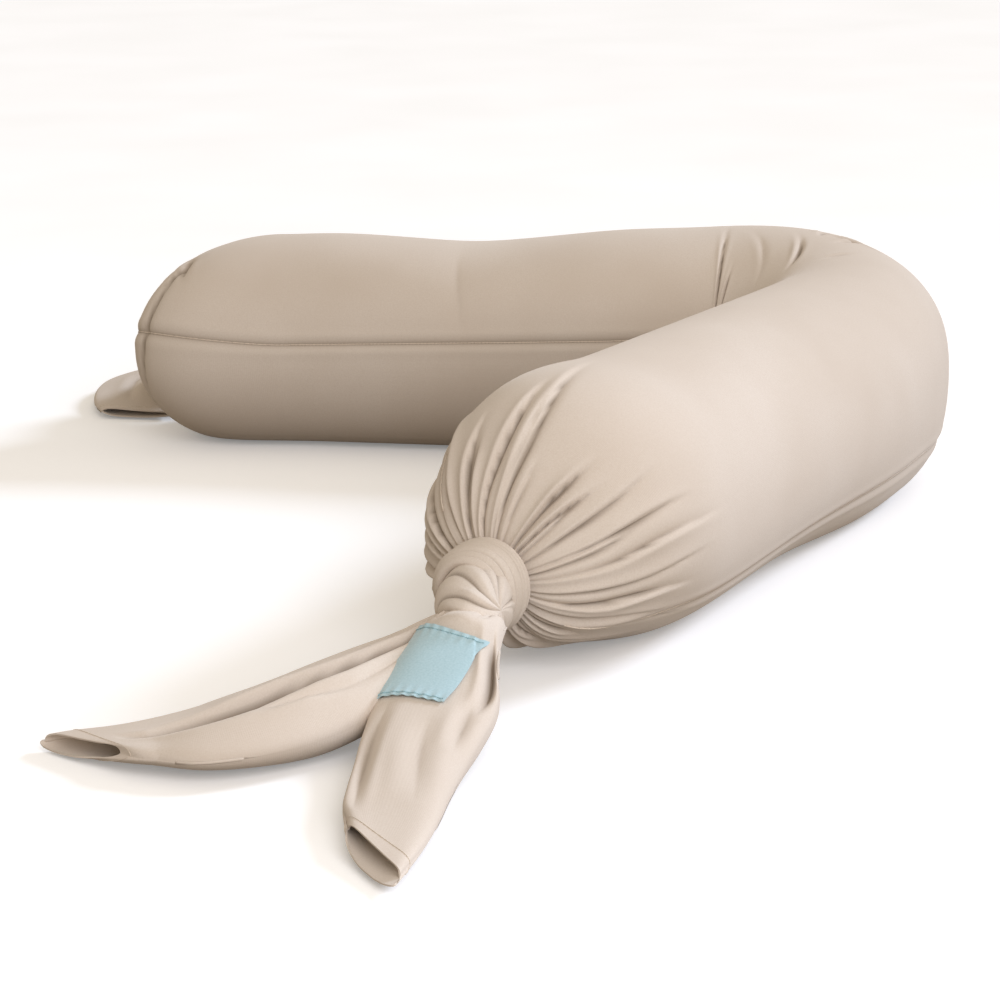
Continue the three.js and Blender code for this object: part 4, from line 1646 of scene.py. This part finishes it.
@dataclass(frozen=True)
class Studio:
    """A plain pale floor, soft lights and the camera."""

    tube: Tube
    lens: float = 93.6
    pitch: float = 15.515
    roll: float = -0.649
    camera_from_elbow: tuple[float, float, float] = (-0.17374, -2.14424, 0.57902)
    key_power: float = 2.38
    key_spread: float = 16.0       # degrees
    key_colour: str = "d8e6ff"
    key_from: tuple[float, float, float] = (1.9, 0.95, 1.2)
    fill_place: tuple[float, float, float] = (0.8, -2.3, 1.3)
    fill_target: tuple[float, float, float] = (-0.1, 0.3, 0.1)
    fill_size: float = 1.8
    fill_power: float = 43.0
    fill_colour: str = "f3f5ff"
    air_strength: float = 0.56
    air_colour: str = "fff2e0"

    def build_floor(self) -> None:
        """The floor, which is not part of the object."""
        shape = bmesh.new()
        bmesh.ops.create_grid(shape, x_segments=1, y_segments=1, size=30.0)
        mesh = bpy.data.meshes.new("floor")
        shape.to_mesh(mesh)
        shape.free()
        mesh.transform(Matrix.Translation((0.0, 0.0, -0.0006)))
        mesh.materials.append(StudioFloor().build())
        floor = bpy.data.objects.new("floor", mesh)
        bpy.context.scene.collection.objects.link(floor)

    @staticmethod
    def add_light(data: bpy.types.Light, back: Vector, colour: str) -> Object:
        """Puts a light in the room, with its back towards a direction.

        Args:
            data: the light.
            back: the direction its light comes from.
            colour: its hex code.

        Returns:
            The light's object.
        """
        data.color = linear(colour)[:3]
        light = bpy.data.objects.new(data.name, data)
        light.rotation_euler = back.to_track_quat("Z", "Y").to_euler()
        bpy.context.scene.collection.objects.link(light)
        return light

    def build_lights(self) -> None:
        """A broad key from the upper right and behind, and a weak fill from the front."""
        key = bpy.data.lights.new("key", "SUN")
        key.energy, key.angle = self.key_power, math.radians(self.key_spread)
        self.add_light(key, Vector(self.key_from), self.key_colour)
        fill = bpy.data.lights.new("front_fill", "AREA")
        fill.size, fill.energy = self.fill_size, self.fill_power
        away = Vector(self.fill_place) - Vector(self.fill_target)
        self.add_light(fill, away, self.fill_colour).location = self.fill_place
        world = bpy.data.worlds.new("studio_air")
        world.use_nodes = True
        back = world.node_tree.nodes["Background"]
        back.inputs["Color"].default_value = linear(self.air_colour)
        back.inputs["Strength"].default_value = self.air_strength
        bpy.context.scene.world = world
        bpy.context.scene.view_settings.view_transform = "Standard"

    def build_camera(self) -> None:
        """The camera, a long lens from a little above."""
        data = bpy.data.cameras.new("camera")
        data.lens, data.sensor_width, data.clip_start, data.clip_end = self.lens, 36.0, 0.05, 100.0
        camera = bpy.data.objects.new("camera", data)
        elbow = self.tube.elbow_centre()
        x, y, z = self.camera_from_elbow
        tip = Matrix.Rotation(math.radians(90.0 - self.pitch), 4, "X")
        roll = Matrix.Rotation(math.radians(self.roll), 4, "Z")
        camera.matrix_world = Matrix.Translation((elbow[0] + x, elbow[1] + y, z)) @ (tip @ roll)
        bpy.context.scene.collection.objects.link(camera)
        bpy.context.scene.camera = camera

    def build(self) -> None:
        """Everything round the pillow."""
        self.build_floor()
        self.build_lights()
        self.build_camera()


def near_tails(knot: Knot) -> tuple[Tail, Tail]:
    """The two tails of the near knot: one runs to the left, one to the front."""
    left = Tail(
        name="near_tail_left", knot=knot,
        route=(
            (0, 0, 0.058), (-0.022, -0.004, 0.049), (-0.050, -0.020, 0.037), (-0.101, -0.060, 0.022),
            (-0.155, -0.090, 0.017), (-0.206, -0.097, 0.013), (-0.242, -0.090, 0.009),
        ),
        widths=(0.034, 0.046, 0.066, 0.086, 0.092, 0.086, 0.060, 0.030),
        heights=(0.026, 0.030, 0.034, 0.034, 0.030, 0.022, 0.015, 0.010),
        valleys=(
            Valley((0.16, -0.10), (0.04, 0.84), 0.0190, 0.11, 0.55),
            Valley((0.62, 0.48), (0.36, 0.62), 0.0050, 0.05),
            Valley((0.30, 0.00), (0.58, 0.92), 0.0050, 0.08),
            Valley((0.62, 0.66), (0.10, 0.50), 0.0050, 0.08),
        ),
        puffs=(Puff(-0.66, 0.38, 0.0020, 0.26, 0.26), Puff(0.45, 0.36, 0.0050, 0.34, 0.22)),
        skew=-0.030, gape=0.002, seed=3, lip=0.008, hug=0.004, flat_length=0.262,
    )
    front = Tail(
        name="near_tail_front", knot=knot,
        route=(
            (0, 0, 0.060), (-0.008, -0.016, 0.055), (-0.016, -0.038, 0.044), (-0.025, -0.076, 0.027),
            (-0.037, -0.130, 0.016), (-0.047, -0.197, 0.012), (-0.056, -0.257, 0.009),
        ),
        widths=(0.046, 0.062, 0.078, 0.074, 0.066, 0.061, 0.056, 0.040),
        heights=(0.026, 0.030, 0.028, 0.028, 0.026, 0.021, 0.014, 0.008),
        valleys=(
            Valley((-0.66, -0.80), (0.30, 0.90), 0.0030, 0.08),
            Valley((0.90, 0.76), (0.02, 0.36), 0.0080, 0.06),
            Valley((0.62, 0.80), (0.30, 0.56), 0.0030, 0.08),
            Valley((0.10, 0.40), (0.36, 0.80), 0.0028, 0.15),
        ),
        puffs=(Puff(0.25, 0.060, 0.0100, 0.75, 0.036),),
        skew=0.027, gape=0.002, seed=8, lip=0.018, hug=0.006, flat_length=0.268, calm=(0.06, 0.34),
    )
    return left, front


def far_tails(knot: Knot) -> tuple[Tail, Tail]:
    """The two tails of the far knot: one curls back along the floor, one runs away behind."""
    left = Tail(
        name="far_tail_left", knot=knot,
        route=(
            (0, 0, 0.056), (-0.004, 0.020, 0.038), (-0.004, 0.046, 0.022), (-0.010, 0.072, 0.014),
            (-0.028, 0.084, 0.011), (-0.046, 0.068, 0.010), (-0.051, 0.034, 0.009),
            (-0.047, -0.004, 0.007), (-0.037, -0.040, 0.005),
        ),
        widths=(0.030, 0.044, 0.056, 0.062, 0.064, 0.066, 0.066, 0.060),
        heights=(0.022, 0.022, 0.020, 0.018, 0.016, 0.014, 0.011, 0.007),
        valleys=(Valley((0.3, -0.1), (0.3, 0.9), 0.0030, 0.10),),
        puffs=(),
        skew=0.014, gape=0.001, seed=21, lip=0.002, hug=0.004, flat_length=0.235,
    )
    back = Tail(
        name="far_tail_back", knot=knot,
        route=(
            (0, 0, 0.056), (0.022, 0.010, 0.044), (0.050, 0.022, 0.032), (0.092, 0.042, 0.019),
            (0.140, 0.058, 0.013), (0.195, 0.068, 0.011), (0.248, 0.072, 0.011),
        ),
        widths=(0.036, 0.050, 0.066, 0.076, 0.076, 0.070, 0.062, 0.052),
        heights=(0.024, 0.028, 0.030, 0.028, 0.024, 0.020, 0.018, 0.016),
        valleys=(
            Valley((0.2, 0.1), (0.15, 0.8), 0.0080, 0.11), Valley((-0.5, -0.4), (0.3, 0.9), 0.0045, 0.09)
        ),
        puffs=(),
        skew=-0.020, gape=0.005, seed=17, lip=0.008, hug=0.005, flat_length=0.260,
    )
    return left, back


def main() -> None:
    """Builds the pillow, its knots, tails and label, and the studio round it."""
    logging.basicConfig(level=logging.INFO, format="%(name)s: %(message)s")
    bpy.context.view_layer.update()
    tube, finishes = Tube(), Wardrobe()
    pillow = Pillow(tube, finishes)
    cover = pillow.build_cover()
    pillow.build_seams(cover)
    pillow.build_inside()
    Studio(tube).build()
    near, far = Knot("near", -1, tube, finishes), Knot("far", 1, tube, finishes)
    near.build()
    far.build()
    left, front = near_tails(near)
    left.build(finishes)
    front.build(finishes)
    Label(front).build(finishes)
    for tail in far_tails(far):
        tail.build(finishes)


if __name__ == "__main__":
    main()
